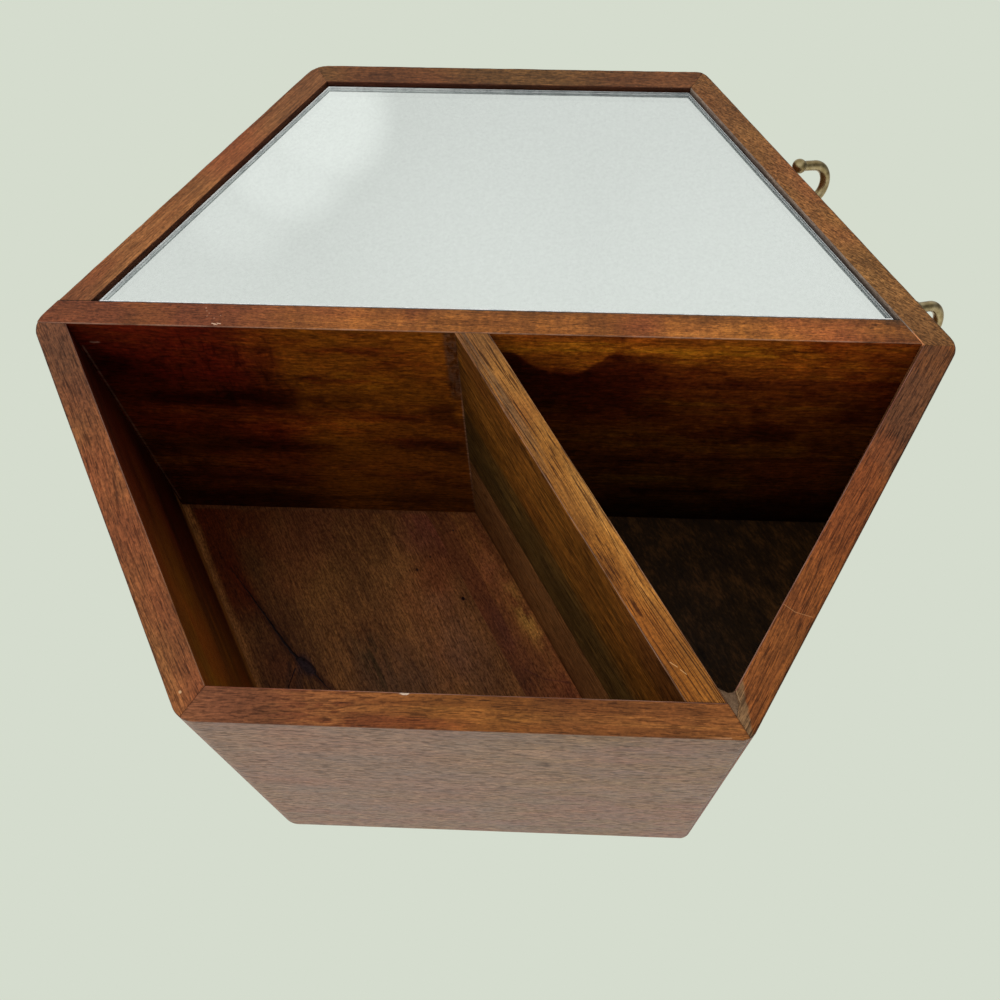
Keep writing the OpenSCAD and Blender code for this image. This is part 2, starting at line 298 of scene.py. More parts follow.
def wood(
    name,
    angle,
    offset,
    pal,
    level=0.7,
    gain=(1.0, 1.0, 1.0),
    spec=0.14,
    rough=0.42,
    tilt=(0.0, 0.0, 0.0),
    fibre=(14.0, 0.36, 0.2),
    streak=(90.0, 1.5, 0.3),
    band=(380.0, 13.0, 0.4),
    blotch=(30.0, 0.14),
    warm=(55.0, 0.7),
    pore=(9.0, 0.26, 0.62, 0.5),
    speck=(2.4, 0.24, 0.61, 0.4),
    mottle=(1.1, 0.1),
    curl=0.0,
    rub=0.5,
    joint=0.6,
    bump=0.5,
    features=None,
):
    """Oiled hardwood as a solid: the grain runs along the board, so faces, edges and ends agree.
    angle turns the board's length onto X; offset moves the block, so no two boards are alike.
    Grain sizes are (length mm, width mm, strength); pores are (length, width, threshold, strength)."""
    net = material(name)
    glare = 0.078 * spec * min(1.0, level / 0.7) * 0.8

    def albedo(rgb):
        return photo_albedo(rgb, level, glare, gain)

    def stretch(v, length, width, seed):
        return net.mapping(v, loc=(seed, seed * 1.7, seed * 0.6), scale=(1000.0 / length, 1000.0 / width, 1000.0 / width))

    p = net.mapping(net.obj, rot=(0, angle, 0))
    g0 = net.mapping(p, loc=offset, rot=tilt)
    drift = net.noise(net.mapping(g0, scale=(6, 16, 16)), detail=1, colour=True)
    drift = net.vmath("MULTIPLY", net.vmath("SUBTRACT", drift, (0.5, 0.5, 0.5)), (0.0, 0.011, 0.011))
    g = net.vmath("ADD", g0, drift)
    bands = net.noise(stretch(g, band[0], band[1], 0.0), detail=3, rough=0.5)
    streaks = net.noise(stretch(g, streak[0], streak[1], 3.3), detail=3, rough=0.6)
    patch = net.noise(stretch(g, blotch[0] * 1.8, blotch[0], 5.1), detail=3, rough=0.6)
    fine = net.noise(stretch(g, fibre[0], fibre[1], 1.9), detail=3, rough=0.7)
    tone = net.math("MULTIPLY", net.math("SUBTRACT", bands, 0.5), band[2] * 4.0)
    tone = net.math("ADD", tone, net.math("MULTIPLY", net.math("SUBTRACT", streaks, 0.5), streak[2] * 4.0))
    tone = net.math("ADD", tone, 0.5, clamp=True)
    colour = net.ramp(tone, [(0.0, albedo(pal[0])), (0.5, albedo(pal[1])), (1.0, albedo(pal[2]))])
    if warm[1]:
        w = net.noise(stretch(g, warm[0] * 1.3, warm[0], 8.2), detail=2)
        colour = net.mix(net.span(w, 0.46, 0.66, 0.0, warm[1]), colour, albedo(pal[3]))
    shade = net.span(patch, 0.3, 0.7, 1.0 - blotch[1] * 1.6, 1.0 + blotch[1] * 1.6, smooth=False)
    if curl:
        c = net.noise(net.mapping(g, loc=(1, 1, 1), scale=(120, 26, 26)), detail=2, distort=0.8)
        shade = net.math("MULTIPLY", shade, net.span(c, 0.3, 0.7, 1 - curl, 1 + curl))
    shade = net.math("MULTIPLY", shade, net.span(fine, 0.28, 0.72, 1 - fibre[2] * 1.6, 1 + fibre[2] * 1.6, smooth=False))
    if mottle[1]:
        m = net.noise(stretch(g, mottle[0] * 1.6, mottle[0], 9.7), detail=2, rough=0.7)
        shade = net.math("MULTIPLY", shade, net.span(m, 0.28, 0.72, 1 - mottle[1] * 1.6, 1 + mottle[1] * 1.6, smooth=False))
    colour = net.mix(1.0, colour, net.grey(shade), "MULTIPLY")
    # pores: dark dashes along the grain, denser in some growth bands
    hole = net.noise(stretch(g, pore[0] * 1.1, pore[1] * 1.5, 4.4), detail=0)
    group = net.span(streaks, 0.35, 0.65, pore[2] + 0.05, pore[2] - 0.04, smooth=False)
    hole = net.span(net.math("SUBTRACT", hole, group), 0.0, 0.09)
    small = net.noise(stretch(g, speck[0] * 1.1, speck[1] * 1.5, 6.7), detail=0)
    small = net.span(small, speck[2], speck[2] + 0.08, 0.0, 1.0)
    dark = net.math("MAXIMUM", net.math("MULTIPLY", hole, pore[3]), net.math("MULTIPLY", small, speck[3]))
    colour = net.mix(dark, colour, net.mix(1.0, colour, (0.16, 0.11, 0.09, 1.0), "MULTIPLY"))
    paint = Paint(net, p, g, albedo)
    paint.shade, paint.dark = shade, dark
    paint.colour = colour
    paint.shine = net.span(patch, 0.25, 0.75, rough - 0.05, rough + 0.07, smooth=False)
    paint.shine = net.math("ADD", paint.shine, net.math("MULTIPLY", dark, 0.25), clamp=True)
    paint.fine, paint.patch, paint.streaks = fine, patch, streaks
    if features is not None:
        features(net, paint)
    colour, shine = paint.colour, paint.shine
    # arrises rubbed lighter, dark lines at the joints, bare wood in the chips
    worn = net.span(net.attribute("wear"), 0.45, 0.85)
    worn = net.math("MULTIPLY", worn, net.span(patch, 0.34, 0.62, 0.35, 1.0))
    worn = net.math("MULTIPLY", worn, net.span(fine, 0.3, 0.6, 0.6, 1.0))
    colour = net.mix(net.math("MULTIPLY", worn, rub), colour, (0.40, 0.25, 0.18, 1.0))
    # painted shade: a dark line along the outer front arris, where the rim attribute is set
    edge = net.span(net.attribute("rim"), 0.3, 0.9)
    colour = net.mix(edge, colour, net.mix(1.0, colour, (0.42, 0.42, 0.44, 1.0), "MULTIPLY"))
    seam = net.math("MULTIPLY", net.attribute("joint"), joint)
    colour = net.mix(seam, colour, net.mix(1.0, colour, (0.16, 0.12, 0.10, 1.0), "MULTIPLY"))
    chip = net.attribute("chip")
    colour = net.mix(net.span(chip, 0.3, 0.8), colour, (0.58, 0.44, 0.34, 1.0))
    shine = net.mixf(net.span(chip, 0.2, 0.6), shine, 0.85)
    height = net.math("SUBTRACT", net.math("MULTIPLY", fine, 0.4), net.math("MULTIPLY", dark, 0.9))
    normal = net.bump(height, 0.0001, bump)
    b = net.principled(colour, shine, normal, Specular_IOR_Level=spec)
    return finish_material(net, b)


# ------------------------------------------------------------------ mesh building
def new_object(name, verts_mm, faces, mats, face_mats=None, attrs=None, sharp=38.0):
    me = bpy.data.meshes.new(name)
    me.from_pydata([tuple(c * MM for c in v) for v in verts_mm], [], faces)
    for m in mats:
        me.materials.append(m)
    if face_mats is not None:
        me.polygons.foreach_set("material_index", face_mats)
    for key, values in (attrs or {}).items():
        a = me.attributes.new(key, "FLOAT", "POINT")
        a.data.foreach_set("value", values)
    me.validate()
    bm = bmesh.new()
    bm.from_mesh(me)
    bmesh.ops.recalc_face_normals(bm, faces=bm.faces)
    bm.to_mesh(me)
    bm.free()
    me.shade_smooth()
    me.set_sharp_from_angle(angle=math.radians(sharp))
    o = bpy.data.objects.new(name, me)
    bpy.context.scene.collection.objects.link(o)
    return o


def place(o, body, slot, *replaced):
    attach(o, body)
    if replaced:
        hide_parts(*replaced)
    return o


def corner_bow(s, r):
    """how far the rounded outer face lies inside the flat one, s mm from the sharp corner"""
    t = T30 * r - s
    return r - math.sqrt(max(r * r - t * t, 0.0)) if t > 0 else 0.0


def side_points(length, n, d0=0.0, d1=1.0):
    """places between the two arrises of a side: held close to both, n between or at the given d"""
    if isinstance(n, tuple):
        e = 0.45 / length
        return [e] + sorted((d - d0) / (d1 - d0) for d in n) + [1 - e]
    if length < 3:
        return [0.5]
    e = min(0.45, length / 8)
    return [e / length] + [(k + 1) / (n + 1) for k in range(n)] + [1 - e / length]


def beam(
    name,
    origin,
    along,
    inward,
    corners,
    ends,
    bow=lambda u: 0.0,
    side_mats=(),
    mats=(),
    step=4.0,
    seed=0.0,
    arcs=3,
    extra=(),
    chips=(),
    trim=None,
    unevenness=0.05,
    gap=0.14,
    rubs=None,
    rims=None,
    kinks=None,
):
    """A board as rings of its section. corners: (d, y, arris radius, points on the side that follows).
    ends: two functions of d that give where the board ends. chips: (u, half length, corner, depth)."""
    n = len(corners)
    length = ends[1](0) - ends[0](0)
    q = [0.0, 0.22, 0.8]
    while q[-1] < 9.5:
        q.append(q[-1] + 0.8)
    while q[-1] < length / 2:
        q.append(q[-1] + step)
    q = q[: max(i for i, x in enumerate(q) if x < length / 2 - 0.5) + 1]
    s = sorted(set([x / length for x in q] + [1 - x / length for x in q]))
    for at, reach, *_ in chips:
        k = (at - ends[0](0)) / length
        s = [x for x in s if abs(x - k) > (reach + 0.4) / length]
        s += [k + (reach * (-1 + 2 * i / 24)) / length for i in range(25)]
    for x in extra:
        s.append(x)
    s = sorted(s)
    kept = [s[0]]
    for x in s[1:]:
        if x - kept[-1] > 0.05 / length:
            kept.append(x)
    s = kept

    verts, wear, joint, chip, rim = [], [], [], [], []
    side_of = []
    for ring, sk in enumerate(s):
        end = 0 if ring == 0 else 1 if ring == len(s) - 1 else None
        u_mid = ends[0](T / 2) * (1 - sk) + ends[1](T / 2) * sk
        pts = []
        radii, chipped = [], []
        for i, c in enumerate(corners):
            r = c[2] * (1 + 0.35 * nz(u_mid * 0.09, seed + i * 3.1) + 0.25 * nz(u_mid * 0.55, seed + i * 5.7))
            w = 0.0
            for at, reach, ci, depth, bare in chips:
                if ci == i:
                    x = abs(u_mid - at) / reach
                    if x < 1:
                        f = (1 - x * x) * (0.75 + 0.5 * nz(u_mid * 2.1, seed))
                        r = max(r, c[2] + depth * f)
                        w = max(w, bare * min(1.0, 1.6 * (1 - x)))
            radii.append(max(r, 0.06))
            chipped.append(w)
        for i, (d, y, _, between) in enumerate(corners):
            pd, py = corners[i - 1][:2]
            nd, ny = corners[(i + 1) % n][:2]
            a = np.array([pd - d, py - y], float)
            b = np.array([nd - d, ny - y], float)
            la, lb = np.linalg.norm(a), np.linalg.norm(b)
            a, b = a / la, b / lb
            r = radii[i]
            c0 = np.array([d, y]) + (a + b) * r
            for k in range(arcs + 1):
                th = math.pi / 2 * k / arcs
                pt = c0 - b * r * math.cos(th) - a * r * math.sin(th)
                if chipped[i] > 0.02 and 0 < k < arcs:
                    # a chip is a rough flat break, not a round
                    pt = pt + (a + b) * r * 0.12 * (1 + nz(u_mid * 1.7, k * 2.0, seed))
                pts.append((pt[0], pt[1], 0.5 + 0.5 * math.sin(2 * th), chipped[i], i))
            rn = radii[(i + 1) % n]
            p0 = np.array([d, y]) + b * r
            p1 = np.array([nd, ny]) - b * rn
            span_ = np.linalg.norm(p1 - p0)
            for f in side_points(span_, between, p0[0], p1[0]):
                pt = p0 + (p1 - p0) * f
                near = min(f, 1 - f) * span_
                pts.append((pt[0], pt[1], 0.0, chipped[i] * 0.5 if f * span_ < 0.6 else 0.0, i))
        if ring == 0:
            side_of = [x[4] for x in pts]
            ring0_d = [x[0] for x in pts]
        dm = sum(c[0] for c in corners) / n
        ys = [c[1] for c in corners]
        ym = (min(ys) + max(ys)) / 2
        for d, y, w, ch, i in pts:
            if end is not None:
                d += math.copysign(min(gap, abs(dm - d)), dm - d)
                y += math.copysign(gap, ym - y)
            if trim is not None:
                y = trim(sk, d, y)
            # boards are never dead flat: everything stays inside the true outline
            wave = unevenness * (0.5 + 0.5 * nz(u_mid * 0.03, y * 0.02, seed + i * 2.3))
            if abs(y - corners[0][1]) < 0.5 * T and i == 0:
                y += 0.01 + 0.6 * wave
            dd = d
            u = 0.0
            for _ in range(8):
                u = ends[0](dd) * (1 - sk) + ends[1](dd) * sk
                o = bow(u)
                dd = o + d * (T - o) / T
            if i in (0, n - 1, n - 2) and dd < T / 2:
                dd = max(dd, 0.01) + wave
            verts.append(origin + along * u + inward * dd + Vector((0, y, 0)))
            wear.append(w * (rubs[i] if rubs else 1.0))
            rim.append(w * (rims[i] if rims else 0.0))
            joint.append(1.0 if end is not None else (0.35 if ring in (1, len(s) - 2) else 0.0))
            chip.append(ch)
    m = len(side_of)
    faces, face_mats = [], []
    for ring in range(len(s) - 1):
        for k in range(m):
            k2 = (k + 1) % m
            faces.append((ring * m + k, ring * m + k2, (ring + 1) * m + k2, (ring + 1) * m + k))
            face_mats.append(side_mats[side_of[k]])
    if kinks:
        # the cut end bends twice: one face for each flat part, front point to rear point
        def at(side, d):
            return min((k for k in range(m) if side_of[k] == side), key=lambda k: abs(ring0_d[k] - d))

        f1, f2 = at(0, kinks[0]), at(0, kinks[1])
        r1, r2 = at(2, kinks[0]), at(2, kinks[1])
        parts = [list(range(f2, r2 + 1)), list(range(f1, f2 + 1)) + list(range(r2, r1 + 1)), list(range(r1, m)) + list(range(0, f1 + 1))]
        for part in parts:
            faces.append(tuple(part))
            face_mats.append(side_mats[-1])
    else:
        faces.append(tuple(range(m)))
        face_mats.append(side_mats[-1])
    faces.append(tuple((len(s) - 1) * m + k for k in reversed(range(m))))
    face_mats.append(side_mats[-1])
    return new_object(name, verts, faces, mats, face_mats, {"wear": wear, "joint": joint, "chip": chip, "rim": rim})


def board_axes(normal_deg):
    a = math.radians(normal_deg)
    n = Vector((math.cos(a), 0, math.sin(a)))
    t = Vector((-math.sin(a), 0, math.cos(a)))
    return n, t


# ------------------------------------------------------------------ wood of each board
# dark, middle, light and reddish tones, as seen in soft light
RAW = ((128, 92, 60), (158, 120, 82), (176, 138, 96), (150, 106, 74))
EDGE_TOP = ((88, 54, 36), (116, 73, 46), (136, 88, 54), (110, 60, 42))
EDGE_UR = ((84, 52, 36), (110, 74, 50), (130, 88, 56), (112, 62, 44))
EDGE_LR = ((80, 54, 38), (104, 73, 50), (122, 86, 56), (110, 66, 48))
EDGE_B = ((90, 58, 38), (121, 83, 52), (146, 102, 64), (120, 70, 48))
EDGE_LL = ((82, 48, 30), (112, 66, 38), (134, 82, 46), (110, 58, 38))
EDGE_UL = ((84, 50, 32), (114, 72, 44), (136, 90, 52), (110, 60, 42))
EDGE_PART = ((104, 64, 38), (134, 84, 46), (152, 100, 54), (122, 66, 46))
EDGE_SHELF = ((104, 64, 30), (140, 93, 44), (162, 114, 58), (136, 80, 38))
INNER = ((22, 9, 4), (38, 16, 5), (54, 26, 8), (44, 15, 5))
UNDER = ((34, 11, 4), (54, 20, 5), (70, 32, 8), (58, 18, 5))
SHELF_IN = ((44, 28, 12), (66, 42, 16), (80, 52, 20), (62, 36, 14))
BACK_UP = ((50, 30, 16), (68, 42, 21), (84, 54, 26), (68, 35, 19))
BACK_MID = ((46, 23, 14), (64, 34, 19), (78, 45, 22), (60, 28, 18))
BACK_LOW = ((15, 10, 6), (25, 17, 9), (35, 25, 13), (26, 15, 9))
OUTSIDE = ((92, 58, 38), (122, 80, 52), (138, 94, 60), (118, 68, 46))
# the upper left board's outer face is greyed: a painted sheen standing in for a pale reflection
OUTSIDE_UL = ((112, 92, 80), (134, 113, 98), (150, 130, 113), (138, 108, 96))

OFFSETS = {
    "top": (0.13, 0.02, 0.31),
    "upper_right": (0.71, 0.12, 0.05),
    "lower_right": (1.31, 0.42, 0.22),
    "bottom": (2.13, 0.08, 0.61),
    "lower_left": (2.71, 0.27, 0.17),
    "upper_left": (3.37, 0.33, 0.44),
    "partition": (4.11, 0.51, 0.13),
    "shelf": (4.83, 0.07, 0.37),
}
FRONT_LEVEL, OUT_LEVEL = 0.80, 0.72


def board_woods(key, angle, edge, inner, outer, edge_kw=None, inner_kw=None, outer_kw=None):
    """the four finishes of one board: front edge, inner face, outer face and sawn wood"""
    off = OFFSETS[key]
    a = math.radians(angle)
    kw = dict(level=FRONT_LEVEL)
    kw.update(edge_kw or {})
    kin = dict(level=0.14, spec=0.12, rough=0.5, fibre=(12.0, 0.5, 0.22), mottle=(1.0, 0.16))
    kin.update(inner_kw or {})
    kout = dict(level=OUT_LEVEL, spec=0.2, rough=0.5)
    kout.update(outer_kw or {})
    return [
        wood(key + "_edge", a, off, edge, **kw),
        wood(key + "_inside", a, off, inner, **kin),
        wood(key + "_outside", a, off, outer, **kout),
        wood(key + "_sawn", a, off, RAW, rough=0.75, spec=0.2, rub=0.1),
    ]


# ------------------------------------------------------------------ outer boards
def mitre(sign):
    return lambda d: sign * (100.0 - T30 * d)


def stop_top(d):
    return -(100.924 - T30 * d)


def stop_upper_right(d):
    return 84.07 - T30 * d


def stop_lower_left(d):
    if d <= 8.14:
        return -100 + T30 * d
    if d <= 9.63:
        return -95.3 + (d - 8.14) * 5.02 / 1.49
    return -90.28 + (d - 9.63) * 3.38 / 3.37


KINKS = (8.14, 9.63)
OUTER = [
    # name, corner angle at its start, ends
    ("upper_right", 0, (mitre(-1), stop_upper_right)),
    ("top", 60, (stop_top, mitre(1))),
    ("upper_left", 120, (mitre(-1), mitre(1))),
    ("lower_left", 180, (stop_lower_left, mitre(1))),
    ("bottom", 240, (mitre(-1), mitre(1))),
    ("lower_right", 300, (mitre(-1), mitre(1))),
]

def edge_top(net, w):
    # duller and more purple towards the left corner, a pale nick near the other end
    w.tint(net.span(w.x, -10.0, -90.0, 0.0, 0.75), (88, 57, 45))
    w.mult(w.spot((-50, -176, None), (24, 20, None), 0.1), (0.85, 0.78, 0.82))
    w.mult(net.span(w.x, 34.0, 84.0), (1.14, 1.12, 1.16))
    w.tint(w.spot((90.6, -176, -168.8), (0.8, 3, 0.7), 0.4), (186, 150, 120), 0.8, grain=False)


def edge_upper_right(net, w):
    w.mult(net.span(w.x, -20.0, -80.0), (0.78, 0.78, 0.88))
    w.mult(net.span(w.x, 60.0, 92.0), (0.78, 0.74, 0.86))
    w.mult(w.spot((28, -176, None), (46, 20, None), 0.2), (1.12, 1.1, 1.06))


def edge_lower_left(net, w):
    w.tint(w.spot((62.0, -176, None), (46, 30, None), 0.3, w.jag(14, 1.2)), (84, 56, 42), 0.8)
    w.mult(w.spot((-22.0, -176, None), (28, 20, None), 0.2, w.jag(14, 1.0)), (1.14, 1.2, 1.06))
    # smear of filler along the cut end, and the pale arris of the cut
    across = net.math("ADD", net.math("MULTIPLY", net.math("ADD", w.x, 85.7), -0.599), net.math("MULTIPLY", net.math("ADD", w.z, 163.4), 0.8))
    across = net.math("ADD", across, w.jag(3.0, 1.6))
    w.tint(net.span(across, -0.5, 0.7), (102, 79, 60), 0.85)
    w.tint(w.line((-86.9, -176, -160.6), (-90.0, -176, -163.6), 0.22), (140, 116, 94), 0.5, grain=False)
    cross = net.math("MAXIMUM", w.line((-47.9, -176, -160.6), (-48.6, -176, -165.6), 0.2), w.line((-48.6, -176, -165.6), (-47.1, -176, -171.8), 0.2))
    w.tint(cross, (158, 112, 80), 0.5, grain=False)


def edge_upper_left(net, w):
    curls = net.noise(net.mapping(w.p, rot=(0, 0.9, 0), scale=(95, 95, 420)), detail=2, distort=1.4)
    m = net.math("MULTIPLY", w.spot((-54, -176, None), (26, 20, None), 0.2), net.span(curls, 0.42, 0.6))
    w.tint(m, (146, 96, 62), 0.4)
    m = net.math("MULTIPLY", w.spot((-50, -176, None), (30, 20, None), 0.2), net.span(curls, 0.56, 0.4))
    w.tint(m, (86, 48, 36), 0.4)
    w.tint(net.span(w.x, -40.0, -90.0, 0.0, 0.75), (102, 67, 53))
    w.mult(w.spot((2, -176, None), (34, 20, None), 0.3, w.jag(16, 1.0)), (1.18, 1.2, 0.98))
    # the outer arris shows pale near the filler
    m = net.math("MULTIPLY", w.line((84, -176, -172.9), (93, -176, -172.7), 0.3), net.span(w.x, 82.0, 90.0))
    w.tint(m, (172, 128, 102), 0.6, grain=False)
    w.tint(w.spot((-22, -176, -171.0), (34, 8, 3.2), 0.3, w.jag(6, 1.0)), (94, 48, 36), 0.5)


def edge_bottom(net, w):
    w.tint(net.span(w.x, -40.0, -80.0, 0.0, 0.6), (100, 66, 44))
    w.mult(w.spot((-18, -176, None), (30, 20, None), 0.2, w.jag(16, 1.0)), (1.25, 1.2, 1.16))
    w.tint(net.span(w.x, 34.0, 72.0, 0.0, 0.75), (106, 70, 46))


def edge_lower_right(net, w):
    w.tint(net.span(w.x, -20.0, -70.0, 0.0, 0.5), (112, 68, 50))
    w.tint(net.span(w.x, 80.0, 98.0, 0.0, 0.8), (114, 79, 53))


def out_upper_left(net, w):
    """painted sheen: a grey wash over the finish standing in for a pale reflection, broken by fine dark dashes, warmer
    towards the wall
    """
    # painted sheen: the grey wash
    sheen_wash = w.strands(60.0, 9.0, 2.0, detail=5, rough=0.7)
    w.tint(net.span(sheen_wash, 0.42, 0.62, 0.0, 0.3), (148, 130, 116))
    rear = net.span(w.y, -110.0, -6.0, 0.25, 1.0)
    spots = w.strands(34.0, 12.0, 7.0, detail=4)
    w.tint(net.math("MULTIPLY", rear, net.span(spots, 0.44, 0.6)), (136, 103, 90), 0.6)
    ochre = net.math("MULTIPLY", net.span(w.x, -40.0, 60.0), net.span(spots, 0.56, 0.42))
    w.tint(ochre, (130, 110, 84), 0.55)
    dash = w.strands(5.0, 1.5, 11.0, detail=5, rough=0.8)
    w.mult(net.span(dash, 0.51, 0.63, 0.0, 0.85), (0.7, 0.67, 0.62))
    w.mult(net.span(dash, 0.48, 0.36, 0.0, 0.75), (1.2, 1.18, 1.12))


def rim_light(net, w):
    """painted light: the strip beside the glass is painted grey where it catches the light, and painted shade darkens
    the face behind the glass's front
    """
    m = net.math("MULTIPLY", net.span(w.y, -171.0, -172.5), net.span(w.x, -87.0, -83.0))
    w.tint(m, (58, 56, 52), 0.9)
    # painted shade: darker behind the glass's front
    w.mult(net.span(w.y, -174.9, -174.5), (0.6, 0.6, 0.62))


def inside_top(net, w):
    """darker at the partition's end, browner at the other"""
    w.mult(net.span(w.x, 10.0, -92.0), (0.52, 0.3, 0.24))
    w.mult(net.span(w.x, -30.0, 92.0), (2.1, 3.6, 1.7))
    # painted light: a bright strip at the foot of the wall, next to the panel
    foot = net.math("ADD", w.y, net.math("MULTIPLY", net.math("SUBTRACT", w.patch, 0.5), 8.0))
    m = net.span(foot, -35.0, -23.0)
    w.tint(m, (58, 33, 15), 0.85)
    w.mult(m, (2.1, 2.8, 3.0))


def recess_shade(net, w):
    """painted shade: the strip round the mirror darkened almost black"""
    m = net.span(w.y, -171.0, -172.5)
    w.mult(m, (0.1, 0.08, 0.08))


LOOKS = {
    "top": (EDGE_TOP, INNER, OUTSIDE),
    "upper_right": (EDGE_UR, OUTSIDE, OUTSIDE),
    "lower_right": (EDGE_LR, OUTSIDE, OUTSIDE),
    "bottom": (EDGE_B, OUTSIDE, OUTSIDE),
    "lower_left": (EDGE_LL, INNER, OUTSIDE),
    "upper_left": (EDGE_UL, INNER, OUTSIDE_UL),
}
FRONT_KW = {
    "top": dict(
        gain=(1.0, 1.06, 0.96), pore=(8.0, 0.34, 0.6, 0.6), speck=(2.4, 0.36, 0.6, 0.4), fibre=(10.0, 0.6, 0.34), mottle=(1.0, 0.2),
        joint=0.6, features=edge_top,
    ),
    "upper_right": dict(
        gain=(1.2, 1.17, 0.98), pore=(9.0, 0.34, 0.62, 0.4), fibre=(14.0, 0.6, 0.34), mottle=(1.0, 0.2), joint=0.05,
        features=edge_upper_right,
    ),
    "lower_right": dict(
        gain=(0.75, 0.76, 0.59), pore=(6.0, 0.34, 0.62, 0.4), fibre=(7.0, 0.7, 0.36), mottle=(1.3, 0.26), blotch=(12.0, 0.2),
        joint=0.05, features=edge_lower_right,
    ),
    "bottom": dict(
        gain=(1.03, 1.09, 0.95), pore=(2.8, 0.36, 0.585, 0.5), speck=(1.6, 0.36, 0.58, 0.45), fibre=(3.6, 0.6, 0.4),
        mottle=(0.85, 0.28), blotch=(14.0, 0.1), streak=(40.0, 1.6, 0.2), tilt=(0.0, 0.35, 0.12), joint=0.08, features=edge_bottom,
    ),
    "lower_left": dict(
        gain=(1.06, 1.1, 0.95), pore=(9.0, 0.36, 0.595, 0.65), fibre=(12.0, 0.6, 0.36), mottle=(1.0, 0.2), joint=0.5, features=edge_lower_left
    ),
    "upper_left": dict(
        gain=(0.98, 0.95, 0.78), pore=(5.0, 0.32, 0.6, 0.55), fibre=(8.0, 0.5, 0.28), mottle=(0.9, 0.14), blotch=(20.0, 0.2), joint=0.7,
        features=edge_upper_left,
    ),
}
INNER_KW = {k: dict() for k in FRONT_KW}
for k in ("upper_right", "lower_right", "bottom"):
    INNER_KW[k] = dict(level=0.3, features=recess_shade)
INNER_KW["bottom"] = dict(level=0.3, features=rim_light)
INNER_KW["top"] = dict(level=0.16, features=inside_top)
INNER_KW["lower_left"] = dict(level=0.2)
OUTER_KW = {k: dict() for k in FRONT_KW}
OUTER_KW["upper_left"] = dict(
    gain=(0.76, 0.63, 0.45), spec=0.3, pore=(5.0, 0.8, 0.6, 0.5), speck=(3.0, 0.6, 0.6, 0.4), fibre=(8.0, 1.4, 0.26), mottle=(1.4, 0.16),
    streak=(60.0, 1.2, 0.2), band=(300.0, 20.0, 0.2), blotch=(22.0, 0.07), features=out_upper_left
)
CHIPS = {k: () for k in FRONT_KW}
CHIPS["upper_left"] = ((-22.0, 2.3, 1, 0.5, 1.0),)
RUBS = {
    "top": (0.1, 1.0, 0.5, 0.2, 0.2, 0.3),
    "upper_right": (0.1, 0.25, 0.2, 0.2, 0.2, 0.3),
    "lower_right": (0.1, 0.25, 0.2, 0.2, 0.2, 0.3),
    "bottom": (0.1, 0.2, 0.2, 0.2, 0.2, 0.3),
    "lower_left": (0.1, 1.0, 0.5, 0.2, 0.2, 0.3),
    "upper_left": (0.3, 1.0, 0.5, 0.2, 0.2, 0.4),
}

for name, a0, ends in OUTER:
    n, t = board_axes(a0 + 30)
    r0, r1 = RADII[a0], RADII[(a0 + 60) % 360]

    def bow(u, r0=r0, r1=r1):
        return max(corner_bow(100 + u, r0), corner_bow(100 - u, r1))

    face, inner, outer = LOOKS[name]
    mats = board_woods(name, a0 + 120, face, inner, outer, FRONT_KW[name], INNER_KW[name], OUTER_KW[name])
    # sides: front, inside, rebate shelf, rebate wall, rear edge, outside, ends
    o = beam(
        name + "_board_wood",
        n * APO,
        t,
        -n,
        [
            (0, -DEPTH, 0.75, KINKS if name == "lower_left" else 3),
            (T, -DEPTH, 0.45, 12),
            (T, PANEL_Y, 0.25, KINKS if name == "lower_left" else 1),
            (T - REBATE_W, PANEL_Y, 0.1, 1),
            (T - REBATE_W, 0, 0.3, 1),
            (0, 0, 0.6, 12),
        ],
        ends,
        bow,
        side_mats=[0, 1, 3, 3, 3, 2, 3],
        mats=mats,
        seed=a0 * 0.37 + 1.3,
        chips=CHIPS[name],
        rubs=RUBS[name],
        rims=(0.0 if name == "upper_left" else 0.85, 0, 0, 0, 0, 0),
        kinks=KINKS if name == "lower_left" else None,
    )
    place(o, "case", name + "_board", name + "_board")

# ------------------------------------------------------------------ partition and shelf
d60 = Vector((math.cos(math.pi / 3), 0, math.sin(math.pi / 3)))
e60 = Vector((math.sin(math.pi / 3), 0, -math.cos(math.pi / 3)))  # towards the mirror


def part_low(d):
    return (-APO_IN + 0.5 * (d + PART_OFF)) / C30


def part_high(d):
    y = d + PART_OFF
    line = (APO - 0.5 * y) / C30
    r = RADII[60]
    xc = SIDE - r / C30
    if y < r * 0.5:
        return min(line, xc + math.sqrt(r * r - y * y))
    return line


